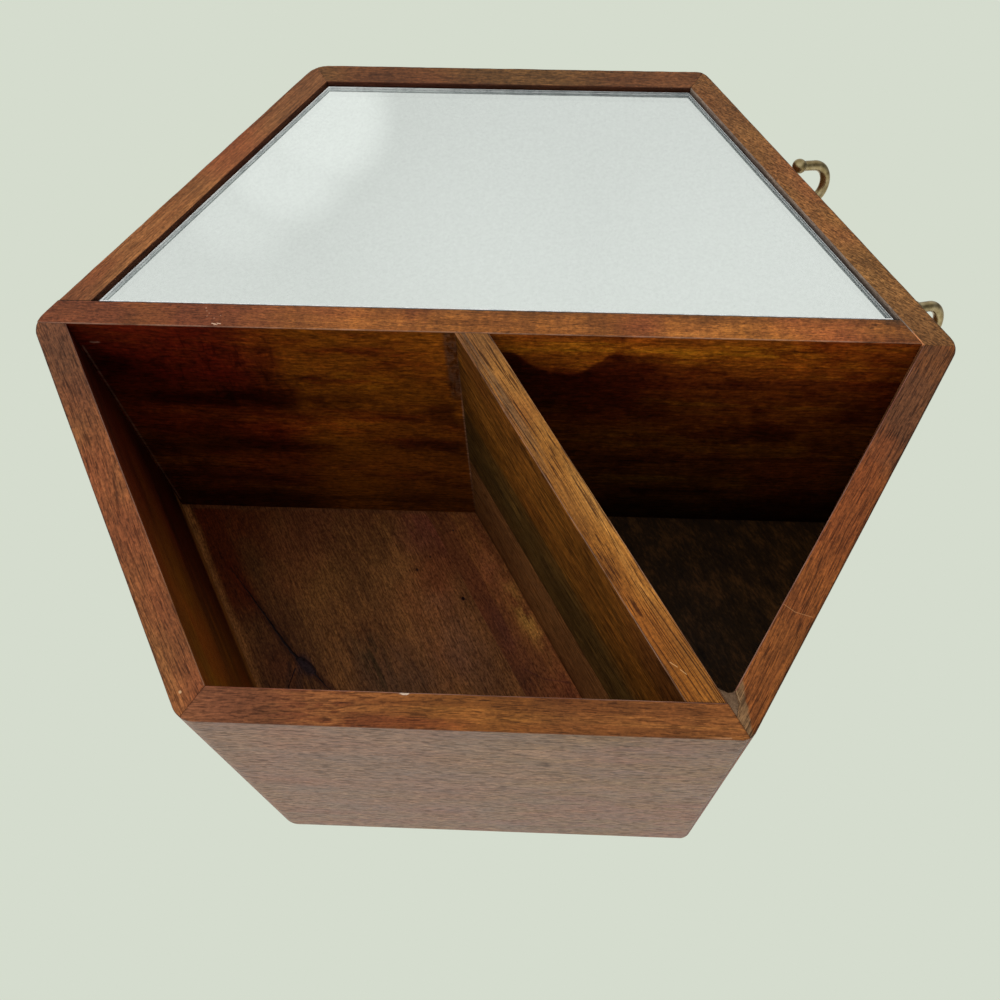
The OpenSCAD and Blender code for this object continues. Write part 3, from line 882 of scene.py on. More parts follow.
def edge_partition(net, w):
    # bands across the grain, as in curly wood
    curly = net.noise(net.mapping(w.p, rot=(0, 0.12, 0), scale=(170, 20, 40)), detail=4, rough=0.62)
    w.mult(net.span(curly, 0.5, 0.66), (0.8, 0.78, 0.84))
    w.mult(net.span(curly, 0.5, 0.36), (1.2, 1.2, 1.1))
    # painted shade: darker towards the arris next to the mirror, with a greyish line along that arris
    w.mult(net.span(w.z, -8.0, -13.4, 0.0, 0.7), (0.72, 0.74, 0.9))
    w.tint(net.span(w.z, -12.7, -13.5), (116, 97, 75), 0.6)
    w.mult(w.spot((-124, -176, None), (44, 20, None), 0.3), (1.15, 1.2, 1.05))
    w.mult(w.spot((10, -176, None), (50, 20, None), 0.3), (0.92, 0.92, 0.92))
    w.tint(net.span(w.x, 50.0, 125.0, 0.0, 0.85), (98, 56, 43))
    w.tint(w.spot((150, -176, None), (16, 20, None), 0.1, w.jag(10, 1.2)), (120, 74, 44), 0.6)
    w.tint(w.spot((-182, -176, -13.0), (17, 20, 3.6), 0.3, w.jag(5, 1.0)), (84, 62, 46), 0.85)
    fleck = w.spot((125.6, -176, -11.0), (0.42, 2, 0.3), 0.5)
    for x, z in ((124.9, -9.4), (123.7, -8.2), (124.3, -6.5), (121.0, -5.5), (118.4, -6.9)):
        fleck = net.math("MAXIMUM", fleck, w.spot((x, -176, z), (0.3, 2, 0.22), 0.5))
    w.tint(fleck, (186, 150, 128), 0.7, grain=False)
    bare = w.line((121.4, -176, -2.6), (119.8, -176, -2.3), 0.3)
    bare = net.math("MAXIMUM", bare, w.line((119.2, -176, -2.7), (117.6, -176, -2.5), 0.26))
    bare = net.math("MAXIMUM", bare, w.line((120.4, -176, -1.8), (118.9, -176, -1.9), 0.18))
    w.tint(bare, (204, 172, 152), 0.85, grain=False)



def under_partition(net, w):
    """figured wood: ragged dark bands along the board, golden next to the shelf; painted shade takes it to black at the
    panel
    """
    n = net.noise(net.mapping(w.p, scale=(15, 60, 60)), detail=6, rough=0.7)
    v = net.math("ADD", w.y, net.math("MULTIPLY", net.math("SUBTRACT", n, 0.5), 40.0))
    v = net.span(v, -176.0, -12.0, 0.0, 1.0, smooth=False)

    def stops(*pairs):
        return [((y + 176.0) / 164.0, (k, k, k, 1.0)) for y, k in pairs]

    # the ramps hold the wood's bands, and painted shade that falls off to near black towards the panel
    left = net.ramp(v, stops((-176, 0.82), (-150, 0.84), (-137, 0.7), (-125, 0.4), (-113, 0.72), (-98, 1.0), (-81, 0.42), (-64, 1.0), (-50, 0.85), (-34, 0.5), (-24, 0.26)))
    left = net.mix(net.span(w.x, 110.0, 80.0), left, net.mix(1.0, left, net.ramp(v, stops((-60, 1.0), (-40, 0.7), (-26, 0.2))), "MULTIPLY"))
    right = net.ramp(v, stops((-176, 1.15), (-158, 1.1), (-138, 0.8), (-118, 0.66), (-99, 0.5), (-84, 0.66), (-66, 0.6), (-46, 0.5), (-30, 0.22), (-18, 0.1)))
    side = net.span(w.x, 4.0, 14.0)
    k = net.mix(side, right, left)
    w.colour = net.mix(1.0, w.colour, k, "MULTIPLY")
    w.mult(net.span(w.x, 10.0, 0.0), (1.04, 1.4, 1.1))
    w.mult(net.span(w.y, -110.0, -50.0), (0.98, 1.4, 1.4))
    ragged = net.noise(net.mapping(w.p, loc=(4, 1, 2), scale=(42, 62, 62)), detail=6, rough=0.75)
    w.mult(net.span(ragged, 0.5, 0.38), (0.58, 0.46, 0.52))
    w.mult(net.span(ragged, 0.5, 0.64), (1.22, 1.35, 1.2))

    def dark(x, y, rx, ry, rgb, seed, size=11.0, k=1.3):
        w.mult(w.spot((x, y, None), (rx, ry, None), 0.25, w.jag(size, k, seed)), rgb)

    # red to the left of the first compartment, golden to its right
    zone = net.math("MULTIPLY", net.span(w.x, 112.0, 84.0), side)
    w.tint(net.math("MULTIPLY", zone, net.span(n, 0.3, 0.56)), (66, 35, 7), 0.72)
    zone = net.math("MULTIPLY", net.span(w.x, 104.0, 124.0), net.span(w.y, -118.0, -142.0))
    w.tint(net.math("MULTIPLY", zone, net.span(ragged, 0.36, 0.56, 0.4, 1.0)), (49, 11, 3), 0.85)
    w.mult(net.math("MULTIPLY", net.span(w.x, 74.0, 50.0), net.math("MULTIPLY", side, net.span(w.y, -112.0, -96.0))), (0.74, 0.72, 0.8))
    # the dark bands thicken in places
    dark(106, -124, 36, 11, (0.34, 0.24, 0.34), 1.0)
    dark(152, -122, 34, 9, (0.42, 0.28, 0.38), 2.0)
    dark(70, -124, 20, 7, (0.62, 0.54, 0.6), 3.0)
    dark(122, -80, 34, 8, (0.46, 0.36, 0.4), 4.0)
    dark(98, -79, 22, 6, (0.55, 0.45, 0.5), 5.0)
    dark(36, -85, 26, 7, (0.5, 0.4, 0.5), 6.0)
    dark(176, -147, 16, 16, (0.42, 0.34, 0.4), 7.0)
    dark(103, -152, 8, 26, (0.56, 0.46, 0.52), 8.0)
    dark(27, -112, 14, 15, (0.4, 0.34, 0.4), 9.0)
    # curled figure near the top corner
    c = net.noise(net.mapping(w.p, rot=(0, 0, 0.75), scale=(150, 26, 26)), detail=5, rough=0.66, distort=1.6)
    zone = w.spot((124, -146, None), (54, 36, None), 0.35, w.jag(16, 0.8))
    w.mult(net.math("MULTIPLY", zone, net.span(c, 0.53, 0.64, 0.0, 0.8)), (1.45, 1.5, 1.4))
    w.mult(net.math("MULTIPLY", zone, net.span(c, 0.47, 0.37)), (0.5, 0.4, 0.42))
    dark(61, -139, 26, 9, (1.3, 1.5, 1.25), 10.0)
    dark(92, -101, 44, 7, (1.25, 1.4, 1.3), 11.0)
    # scalloped light patch with a dark wave behind it, right of the shelf
    t = net.math("DIVIDE", net.math("ADD", w.x, 31.0), 18.0)
    t = net.math("MINIMUM", net.math("MULTIPLY", t, t), 1.35)
    wave = net.math("ADD", net.math("MULTIPLY", t, -12.0), -147.0)
    wave = net.math("ADD", net.math("SUBTRACT", w.y, wave), w.jag(9.0, 5.0))
    near = net.span(w.x, 6.0, -8.0)
    dark_side = net.math("MULTIPLY", net.math("MULTIPLY", near, net.span(wave, -1.5, 2.0)), net.span(w.y, -108.0, -128.0))
    dark_side = net.math("MULTIPLY", dark_side, net.span(w.x, -92.0, -58.0))
    w.mult(dark_side, (0.34, 0.26, 0.34))
    light_side = net.math("MULTIPLY", net.math("MULTIPLY", near, net.span(wave, 1.5, -2.0)), net.span(w.x, -80.0, -52.0))
    w.mult(light_side, (1.5, 1.75, 1.4))
    w.mult(w.spot((-128, -99, None), (40, 8, None), 0.1, w.jag(9, 0.9)), (0.5, 0.42, 0.5))
    # painted light: brighter near the front opening
    w.mult(w.spot((-110, -166, None), (80, 22, None), 0.1, w.jag(18, 0.6)), (1.34, 1.6, 1.1))
    w.mult(net.math("MULTIPLY", net.span(w.x, 98.0, 120.0), net.span(w.y, -118.0, -140.0)), (0.7, 0.76, 0.95))
    # a dusty grey tint and painted shade in the corner next to the shelf, and glue where the walls meet
    dust_and_shade = net.math("MULTIPLY", net.math("MULTIPLY", net.span(w.x, 22.0, 19.5), side), net.span(w.y, -122.0, -134.0))
    streaky = net.noise(net.mapping(w.p, loc=(2, 5, 1), scale=(500, 160, 160)), detail=4, rough=0.7)
    w.tint(net.math("MULTIPLY", dust_and_shade, net.span(streaky, 0.38, 0.54)), (36, 24, 17), 0.8)
    w.mult(net.math("MULTIPLY", dust_and_shade, net.span(streaky, 0.5, 0.42)), (0.4, 0.38, 0.42))
    w.tint(w.spot((15.6, -80, None), (0.9, 80, None), 0.3, w.jag(2.4, 0.7)), (74, 57, 42), 0.5)
    w.tint(w.spot((178, -163, None), (3.2, 1.1, None), 0.2, w.jag(2, 0.8)), (104, 74, 58), 0.5)
    w.tint(w.line((184.2, -160, -0.8), (184.2, -20, -0.8), 0.7), (70, 50, 38), 0.5)


part_mats = board_woods(
    "partition",
    60,
    EDGE_PART,
    UNDER,
    UNDER,
    dict(
        gain=(0.95, 0.92, 0.84), pore=(6.0, 0.3, 0.62, 0.35), speck=(2.0, 0.34, 0.6, 0.4), fibre=(5.0, 0.6, 0.26), mottle=(0.95, 0.24),
        blotch=(16.0, 0.2), streak=(90.0, 1.4, 0.4), joint=0.4, features=edge_partition,
    ),
    dict(
        level=0.16, gain=(1.02, 1.08, 1.25), rough=0.45, fibre=(9.0, 1.5, 0.34), pore=(9.0, 0.9, 0.6, 0.4), speck=(3.0, 0.7, 0.6, 0.35),
        streak=(60.0, 2.4, 0.28), mottle=(1.6, 0.28), features=under_partition,
    ),
    dict(level=0.3, features=recess_shade),
)
part_mats.append(
    wood("partition_end", math.radians(60), OFFSETS["partition"], OUTSIDE, level=OUT_LEVEL, spec=0.2, rough=0.55, joint=0.0, gain=(0.84, 0.78, 0.74))
)
o = beam(
    "partition_board_wood",
    e60 * PART_OFF,
    d60,
    e60,
    [
        (0, -DEPTH, 0.5, 3),
        (T, -DEPTH, 0.55, 12),
        (T, PANEL_Y, 0.25, 3),
        (0, PANEL_Y, 0.25, 12),
    ],
    (part_low, part_high),
    side_mats=[0, 2, 3, 1, 4],
    mats=part_mats,
    seed=21.7,
    rubs=(1.0, 0.35, 0.2, 0.5),
)
place(o, "case", "partition_board", "partition_board")

def edge_shelf(net, w):
    # a greyish stripe along the upper arris, scratches near the left end
    m = net.math("MULTIPLY", net.span(w.z, 6.0, 10.0), net.span(w.x, -100.0, -30.0))
    m = net.math("MULTIPLY", m, net.span(w.strands(90.0, 1.0, 5.0), 0.4, 0.54))
    w.tint(m, (98, 76, 54), 0.85)
    w.tint(net.span(w.x, -80.0, 0.0, 0.0, 0.35), (116, 80, 46))
    w.tint(net.span(w.x, -120.0, -172.0, 0.0, 0.65), (113, 66, 29))
    w.mult(net.span(w.x, -75.0, -30.0), (1.03, 1.08, 1.2))
    w.mult(net.span(w.x, -18.0, -5.0), (0.72, 0.7, 0.84))
    w.mult(w.spot((-88.0, -176, None), (24, 20, None), 0.1), (1.08, 1.16, 1.4))
    w.mult(w.spot((-125.0, -176, None), (16, 20, None), 0.1, w.jag(12, 1.0)), (0.76, 0.7, 0.66))
    w.mult(net.span(w.x, -156.0, -170.0), (1.24, 1.28, 1.25))
    for a, b in (((-162.6, 10.0), (-165.4, 8.6)), ((-166.7, 8.2), (-169.2, 7.2))):
        w.tint(w.line((a[0], -176, a[1]), (b[0], -176, b[1]), 0.17), (206, 164, 116), 0.6, grain=False)


def top_shelf(net, w):
    """glued up from two staves: a smooth brown one at the wall, a greenish streaked one in front"""
    wide = w.strands(220.0, 9.0, 2.2, detail=3)
    thin = w.strands(150.0, 1.3, 6.1, detail=4, rough=0.75)
    y = net.math("ADD", w.y, net.math("MULTIPLY", net.math("SUBTRACT", wide, 0.5), 40.0))
    front = net.span(w.y, -71.6, -72.2)
    olive = net.math("MULTIPLY", front, net.span(y, -128.0, -104.0))
    w.tint(olive, (42, 35, 19), 0.8)
    w.tint(net.math("MULTIPLY", front, net.span(y, -120.0, -146.0)), (70, 43, 17), 0.6)
    line = net.math("MULTIPLY", front, net.span(thin, 0.44, 0.62))
    w.mult(line, (1.5, 1.4, 1.2))
    line = net.math("MULTIPLY", front, net.span(thin, 0.5, 0.36))
    w.mult(line, (0.5, 0.52, 0.5))
    w.tint(net.span(w.y, -72.2, -71.4), (84, 56, 30), 0.85)
    # painted shade: the rear stave darker next to the panel
    w.mult(net.math("MULTIPLY", net.span(w.y, -72.2, -71.4), net.span(w.y, -24.0, -13.0)), (0.6, 0.55, 0.5))
    w.mult(w.line((-200, -71.8, 13), (30, -71.8, 13), 0.5), (0.62, 0.58, 0.58))
    w.tint(w.spot((-165, -165, None), (40, 26, None), 0.2, w.jag(12, 0.8)), (42, 24, 12), 0.6)
    w.tint(w.spot((-8, -168, None), (24, 18, None), 0.2, w.jag(10, 0.8)), (60, 34, 14), 0.5)
    # glue along the partition
    w.tint(w.line((8.6, -176, 13), (8.6, -13, 13), 0.7), (92, 70, 54), 0.5)


shelf_mats = board_woods(
    "shelf",
    0,
    EDGE_SHELF,
    SHELF_IN,
    BACK_LOW,
    dict(
        gain=(1.05, 1.03, 0.98), pore=(46.0, 0.26, 0.585, 0.85), speck=(12.0, 0.22, 0.6, 0.45), fibre=(40.0, 0.44, 0.26), mottle=(0.9, 0.2),
        streak=(150.0, 1.4, 0.25),
        joint=0.5, features=edge_shelf,
    ),
    dict(
        level=0.24, gain=(0.57, 0.56, 0.68), spec=0.16, pore=(16.0, 0.9, 0.6, 0.55), speck=(4.0, 0.7, 0.6, 0.4), fibre=(12.0, 1.5, 0.42),
        mottle=(1.8, 0.24),
        features=top_shelf,
    ),
    dict(level=0.09, spec=0.1),
)
o = beam(
    "shelf_board_wood",
    Vector((0, 0, 0)),
    Vector((1, 0, 0)),
    Vector((0, 0, 1)),
    [
        (0, -DEPTH, 0.5, 3),
        (T, -DEPTH, 0.5, 12),
        (T, PANEL_Y, 0.2, 3),
        (0, PANEL_Y, 0.2, 12),
    ],
    (lambda d: -SIDE_IN + T30 * d, lambda d: (0.5 * d + PART_OFF) / C30),
    side_mats=[0, 1, 3, 2, 3],
    mats=shelf_mats,
    seed=33.1,
    rubs=(1.0, 0.8, 0.3, 0.3),
)
place(o, "case", "shelf_board", "shelf_board")


# ------------------------------------------------------------------ flat outlines
def clip(poly, n, c):
    """the part of the outline where point . n <= c"""
    out = []
    for i, p in enumerate(poly):
        q = poly[(i + 1) % len(poly)]
        dp, dq = p[0] * n[0] + p[1] * n[1] - c, q[0] * n[0] + q[1] * n[1] - c
        if dp <= 0:
            out.append(p)
        if dp * dq < 0:
            f = dp / (dp - dq)
            out.append((p[0] + (q[0] - p[0]) * f, p[1] + (q[1] - p[1]) * f))
    return out


def hexagon(apothem):
    r = apothem / C30
    return [(r * math.cos(math.radians(60 * k)), r * math.sin(math.radians(60 * k))) for k in range(6)]


def inset(poly, by):
    out = []
    for i, p in enumerate(poly):
        a, b = poly[i - 1], poly[(i + 1) % len(poly)]
        u = Vector((p[0] - a[0], p[1] - a[1])).normalized()
        v = Vector((b[0] - p[0], b[1] - p[1])).normalized()
        nu, nv = Vector((-u.y, u.x)), Vector((-v.y, v.x))
        k = by / (1 + nu.dot(nv))
        out.append((p[0] + (nu.x + nv.x) * k, p[1] + (nu.y + nv.y) * k))
    return out


def plate(name, outline, y0, y1, chamfer, mats, side_mats=(0, 0, 0), rows=1, sharp=12):
    """outline runs anticlockwise in X-Z; y0 is its front. Materials: front, sides, rear, perhaps chamfers."""
    loops = [(inset(outline, chamfer), y0), (inset(outline, chamfer * 0.3), y0 + chamfer * 0.3), (outline, y0 + chamfer)]
    for k in range(1, rows):
        loops.append((outline, y0 + chamfer + (y1 - y0 - 2 * chamfer) * k / rows))
    loops += [(outline, y1 - chamfer), (inset(outline, chamfer * 0.3), y1 - chamfer * 0.3), (inset(outline, chamfer), y1)]
    m = len(outline)
    verts = [Vector((x, y, z)) for loop, y in loops for x, z in loop]
    faces, fm = [], []
    for k in range(len(loops) - 1):
        for i in range(m):
            j = (i + 1) % m
            faces.append((k * m + i, k * m + j, (k + 1) * m + j, (k + 1) * m + i))
            fm.append(side_mats[3] if len(side_mats) > 3 and (k < 2 or k > len(loops) - 4) else side_mats[1])
    faces.append(tuple(reversed(range(m))))
    fm.append(side_mats[0])
    faces.append(tuple((len(loops) - 1) * m + i for i in range(m)))
    fm.append(side_mats[2])
    return new_object(name, verts, faces, mats, fm, sharp=sharp)


def carve(o, cutters):
    """cuts the closed cutters (lists of verts mm and faces) out of o; the cut shows material 2"""
    for k, (verts, faces) in enumerate(cutters):
        me = bpy.data.meshes.new("cutter")
        me.from_pydata([tuple(c * MM for c in v) for v in verts], [], faces)
        bm = bmesh.new()
        bm.from_mesh(me)
        bmesh.ops.recalc_face_normals(bm, faces=bm.faces)
        bm.to_mesh(me)
        bm.free()
        for m in o.data.materials:
            me.materials.append(m)
        for f in me.polygons:
            f.material_index = 2
        c = bpy.data.objects.new("cutter", me)
        bpy.context.scene.collection.objects.link(c)
        mod = o.modifiers.new("cut", "BOOLEAN")
        mod.operation, mod.solver, mod.object = "DIFFERENCE", "EXACT", c
        mod.material_mode = "INDEX"
        bpy.context.view_layer.update()
        out = bpy.data.meshes.new_from_object(o.evaluated_get(bpy.context.evaluated_depsgraph_get()))
        o.modifiers.clear()
        old, o.data = o.data, out
        bpy.data.meshes.remove(old)
        bpy.data.objects.remove(c)
        bpy.data.meshes.remove(me)


def groove(line, depth):
    """a V-shaped split along points (x, z, half width), open at the front of the panel"""
    n = len(line)
    verts, faces = [], []
    for i, (x, z, w) in enumerate(line):
        a, b = line[max(i - 1, 0)], line[min(i + 1, n - 1)]
        t = Vector((b[0] - a[0], b[1] - a[1])).normalized()
        nx, nz_ = -t.y, t.x
        y = PANEL_Y + depth * min(1.0, 0.35 + w / 0.3)
        verts += [(x + nx * w, PANEL_Y - 0.4, z + nz_ * w), (x - nx * w, PANEL_Y - 0.4, z - nz_ * w),
                  (x - nx * w * 0.35, y, z - nz_ * w * 0.35), (x + nx * w * 0.35, y, z + nz_ * w * 0.35)]
    for i in range(n - 1):
        for k in range(4):
            k2 = (k + 1) % 4
            faces.append((i * 4 + k, i * 4 + k2, i * 4 + 4 + k2, i * 4 + 4 + k))
    faces += [(0, 1, 2, 3), tuple((n - 1) * 4 + k for k in (3, 2, 1, 0))]
    return verts, faces


def pit(x, z, rx, rz, depth, turn=0.0, n=18, seed=0.0):
    """an uneven round hole, narrower at its floor"""
    verts, faces = [], []
    for y, f in ((PANEL_Y - 0.4, 1.0), (PANEL_Y + depth * 0.5, 0.92), (PANEL_Y + depth, 0.55)):
        for k in range(n):
            a = 2 * math.pi * k / n
            r = f * (1 + 0.16 * nz(math.cos(a) * 1.3, math.sin(a) * 1.3, seed))
            px, pz = rx * r * math.cos(a), rz * r * math.sin(a)
            verts.append((x + px * math.cos(turn) - pz * math.sin(turn), y, z + px * math.sin(turn) + pz * math.cos(turn)))
    for j in range(2):
        for k in range(n):
            k2 = (k + 1) % n
            faces.append((j * n + k, j * n + k2, (j + 1) * n + k2, (j + 1) * n + k))
    faces += [tuple(range(n)), tuple(2 * n + k for k in reversed(range(n)))]
    return verts, faces


# ------------------------------------------------------------------ back panel
CRACK = [(41.6, 149.2), (20.0, 144.9), (5.1, 142.1), (-9.0, 139.6), (-20.4, 137.4), (-26.5, 135.2)]
CRACK_END = [(-37.5, 131.0), (-43.0, 129.4), (-50.7, 127.0)]


def split(points, w0, w1, seed, step=2.2):
    out = []
    total = sum(math.dist(points[i], points[i + 1]) for i in range(len(points) - 1))
    run = 0.0
    for i in range(len(points) - 1):
        a, b = points[i], points[i + 1]
        d = math.dist(a, b)
        k = max(1, int(d / step))
        for j in range(k + (i == len(points) - 2)):
            f = j / k
            x, z = a[0] + (b[0] - a[0]) * f, a[1] + (b[1] - a[1]) * f
            q = (run + d * f) / total
            w = (w0 + (w1 - w0) * q) * (0.75 + 0.5 * (0.5 + 0.5 * nz(x * 0.35, z * 0.35, seed)))
            out.append((x, z + 0.3 * nz(x * 0.25, seed), max(w, 0.05)))
        run += d
    return out


net = material("split_wood")
n1 = net.noise(net.obj, scale=700, detail=3)
colour = net.ramp(n1, [(0.3, srgb(40, 28, 31)), (0.7, srgb(78, 58, 60))])
split_mat = finish_material(net, net.principled(colour, net.span(n1, 0.3, 0.7, 0.6, 0.85), net.bump(n1, 0.0003, 0.6), Specular_IOR_Level=0.15))


def panel_corner(net, w):
    """painted light: a lighter strip along the top board"""
    z = net.math("ADD", w.z, net.math("MULTIPLY", net.math("SUBTRACT", w.patch, 0.5), 5.0))
    m = net.math("MULTIPLY", net.span(z, 137.0, 146.0), net.span(w.x, -4.0, 24.0))
    w.tint(m, (54, 20, 3), 0.85)
    # painted light: the lighter strip right next to the top board
    w.tint(net.span(z, 155.0, 159.0), (98, 63, 31), 0.9)
    # a pale line along the partition
    v = net.math("SUBTRACT", net.math("MULTIPLY", w.x, 0.866), net.math("MULTIPLY", w.z, 0.5))
    w.tint(net.span(net.math("ADD", v, w.jag(5.0, 1.2)), -2.2, -0.8), (66, 39, 22), 0.6)


def fuzz(net, w, size, seed):
    """a ragged noise from 0 to 1 that breaks up a patch's outline and its inside"""
    return net.noise(net.mapping(w.p, loc=(seed, 0, seed), scale=(1000.0 / (size * 2.2), 1.0, 1000.0 / size)), detail=5, rough=0.68)


def back_upper(net, w):
    f1, f2 = fuzz(net, w, 22.0, 1.0), fuzz(net, w, 12.0, 4.0)

    def cloud(cx, cz, rx, rz, rgb, k, f=f1):
        m = w.spot((cx, None, cz), (rx, None, rz), 0.0, w.jag(26, 1.0))
        w.tint(net.math("MULTIPLY", m, net.span(f, 0.36, 0.56, 0.25, 1.0)), rgb, k)

    cloud(78, 134, 62, 36, (58, 25, 12), 0.9)
    cloud(42, 92, 36, 50, (68, 37, 21), 0.7)
    cloud(14, 44, 30, 26, (70, 36, 25), 0.75)
    cloud(2, 100, 44, 40, (80, 52, 24), 0.6, f2)
    cloud(-22, 74, 44, 30, (78, 51, 26), 0.5, f2)
    cloud(-38, 106, 18, 14, (46, 35, 22), 0.65, f2)
    cloud(-60, 92, 40, 40, (60, 41, 27), 0.55)
    cloud(-60, 58, 50, 26, (64, 43, 30), 0.5)
    # brown stain along the split, bluish round the knot
    m = w.line((44, -13, 150), (-22, -13, 137), 3.4)
    m = net.math("MAXIMUM", m, w.line((-22, -13, 137), (-52, -13, 126), 3.0))
    w.tint(m, (40, 20, 13), 0.65)
    w.tint(w.spot((-32, None, 134), (11, None, 6), 0.3, w.jag(4, 0.8)), (38, 25, 24), 0.7)
    w.tint(w.spot((-32, None, 133), (8, None, 3), 0.4, w.jag(3, 0.6)), (17, 10, 14), 0.7)
    w.tint(w.line((-26, -13, 140), (-40, -13, 147), 1.6), (38, 24, 18), 0.5)
    w.tint(w.line((-34, -13, 138), (-58, -13, 146), 2.2), (44, 30, 24), 0.4)
    ridge = w.strands(26.0, 2.4, 3.0, detail=4, rough=0.7)
    m = net.math("MULTIPLY", w.spot((-48, None, 99), (26, None, 11), 0.2, w.jag(12, 1.2)), net.span(ridge, 0.46, 0.54))
    w.tint(m, (31, 24, 12), 0.8)
    m = net.math("MULTIPLY", w.spot((-78, None, 84), (26, None, 14), 0.1, w.jag(12, 1.2)), net.span(ridge, 0.47, 0.55))
    w.tint(m, (36, 25, 15), 0.6)
    m = w.spot((-36.4, None, 42.8), (3.4, None, 2.0), 0.2)
    m = net.math("MAXIMUM", m, w.spot((-8.6, None, 57.7), (2.4, None, 1.5), 0.2))
    w.tint(m, (44, 25, 14), 0.6)
    panel_corner(net, w)


def back_middle(net, w):
    f = fuzz(net, w, 9.0, 2.0)
    m = net.math("MULTIPLY", w.spot((-58, None, 18), (44, None, 7), 0.0, w.jag(8, 0.9)), net.span(f, 0.4, 0.58))
    w.tint(m, (112, 76, 34), 0.6)
    m = net.math("MULTIPLY", w.spot((-62, None, 18), (12, None, 4), 0.0, w.jag(6, 1.0)), net.span(f, 0.42, 0.56))
    w.tint(m, (112, 80, 36), 0.45)
    w.tint(w.spot((-30, None, 22), (26, None, 9), 0.0, w.jag(8, 1.0)), (84, 46, 27), 0.5)
    w.tint(w.spot((-64, None, 31), (28, None, 7), 0.0, w.jag(8, 1.0)), (57, 29, 22), 0.5)
    w.tint(w.spot((-92, None, 27), (22, None, 12), 0.1, w.jag(8, 0.8)), (56, 29, 18), 0.55)
    m = w.line((-88, -13, 32), (-97.6, -13, 25.5), 0.6)
    m = net.math("MAXIMUM", m, w.line((-97.6, -13, 25.5), (-106, -13, 14), 0.6))
    w.tint(m, (36, 18, 17), 0.45)
    shaded_part(net, w, 0.19)


def shaded_part(net, w, level):
    """below the shelf the panel is darker and greener, and looks the same across the seam"""
    a = net.noise(net.mapping(w.p, loc=(3, 0, 1), scale=(60, 60, 110)), detail=6, rough=0.72)
    b = net.noise(net.mapping(w.p, loc=(1, 0, 5), scale=(260, 260, 900)), detail=3, rough=0.7)
    t = net.math("ADD", net.math("MULTIPLY", a, 0.6), net.math("MULTIPLY", b, 0.4))
    c = net.ramp(t, [(0.34, LOW_WOOD[0]), (0.5, LOW_WOOD[1]), (0.66, LOW_WOOD[2])])
    w.colour = net.mix(net.span(w.z, 1.0, -1.0), w.colour, c)


def back_lower(net, w):
    shaded_part(net, w, 0.09)


LOW_WOOD = [photo_albedo(c, 0.175, 0.0004) for c in ((8, 5, 3), (22, 13, 5), (46, 28, 11))]
PLANKS = [
    ("upper", 38.0, 400.0, (5.31, 0.4, 0.2), BACK_UP, dict(level=0.19, gain=(0.73, 0.73, 0.82), features=back_upper)),
    ("middle", -84.0, 38.0, (6.17, 0.1, 0.7), BACK_MID, dict(level=0.19, gain=(0.63, 0.68, 0.7), curl=0.08, pore=(4.0, 0.34, 0.62, 0.3), features=back_middle)),
    ("lower", -400.0, -84.0, (6.93, 0.6, 0.3), BACK_LOW, dict(level=0.09, features=back_lower)),
]
BACK_GRAIN = dict(
    spec=0.14, rough=0.5, pore=(4.0, 0.36, 0.585, 0.5), speck=(2.0, 0.4, 0.585, 0.45), fibre=(9.0, 0.7, 0.3), mottle=(1.0, 0.26)
)
for name, z0, z1, off, pal, kw in PLANKS:
    outline = clip(clip(hexagon(APO_IN + REBATE_W - 0.3), (0, 1), z1 - 0.01), (0, -1), -(z0 + 0.01))
    mats = [
        wood("back_" + name + "_inside", 0.0, off, pal, **dict(BACK_GRAIN, **kw)),
        wood("back_" + name + "_rear", 0.0, off, RAW, rough=0.8, spec=0.2, rub=0.1),
        split_mat,
    ]
    o = plate("back_plank_" + name + "_wood", outline, PANEL_Y, -5.0, 0.04, mats, (0, 0, 1))
    if name == "upper":
        cuts = [groove(split(CRACK, 0.2, 0.8, 3.0), 1.6), groove(split(CRACK_END, 0.6, 0.15, 5.0), 1.3)]
        cuts.append(groove(split([(-30.5, 138.8), (-35.0, 142.6), (-39.5, 146.6)], 0.5, 0.15, 7.0), 0.8))
        cuts.append(pit(-31.7, 133.0, 7.6, 2.5, 1.6, math.radians(22), seed=2.0))
        for x, z, r in ((-8.6, 57.7, 0.62), (-36.4, 42.8, 0.95), (-4.8, 47.9, 0.5), (4.2, 29.3, 0.55)):
            if z > 39:
                cuts.append(pit(x, z, r * 1.25, r, 3.0, seed=x))
        carve(o, cuts)
        o.data.shade_smooth()
        o.data.set_sharp_from_angle(angle=math.radians(12))
    if name == "middle":
        carve(o, [pit(4.2, 29.3, 0.6, 0.5, 3.0, seed=4.0)])
        o.data.shade_smooth()
        o.data.set_sharp_from_angle(angle=math.radians(12))
    place(o, "case", "back_plank_" + name, "back_plank_" + name)

# the partition's outer end runs on past the panel to the wall
ring = [(v, (APO_IN + REBATE_W - 0.5 * (v + PART_OFF)) / C30 + 0.03) for v in (0.03, T - 0.03)]
ring += [(v, part_high(v) - 0.03) for v in [T - 0.03] + [0.5 * k for k in range(25, 0, -1)] + [0.03]]
outline = [(d60.x * u + e60.x * (v + PART_OFF), d60.z * u + e60.z * (v + PART_OFF)) for v, u in ring]
o = plate("partition_board_tail", outline, PANEL_Y + 0.01, -0.02, 0.1, part_mats, (3, 4, 3), sharp=30)
place(o, "case", "partition_board", "partition_board")

# ------------------------------------------------------------------ filler in the left corner
net = material("filler_paste")
grain = net.noise(net.obj, scale=900, detail=4, rough=0.7)
lump = net.noise(net.obj, scale=160, detail=3)
colour = net.ramp(lump, [(0.3, srgb(82, 60, 42)), (0.55, srgb(112, 88, 66)), (0.75, srgb(130, 106, 84))])
colour = net.mix(net.span(grain, 0.35, 0.7, 0, 0.5), colour, srgb(60, 44, 32))
filler_mat = finish_material(
    net,
    net.principled(colour, net.span(grain, 0.3, 0.7, 0.7, 0.95), net.bump(net.math("ADD", grain, lump), 0.0006, 0.7), Specular_IOR_Level=0.2),
)
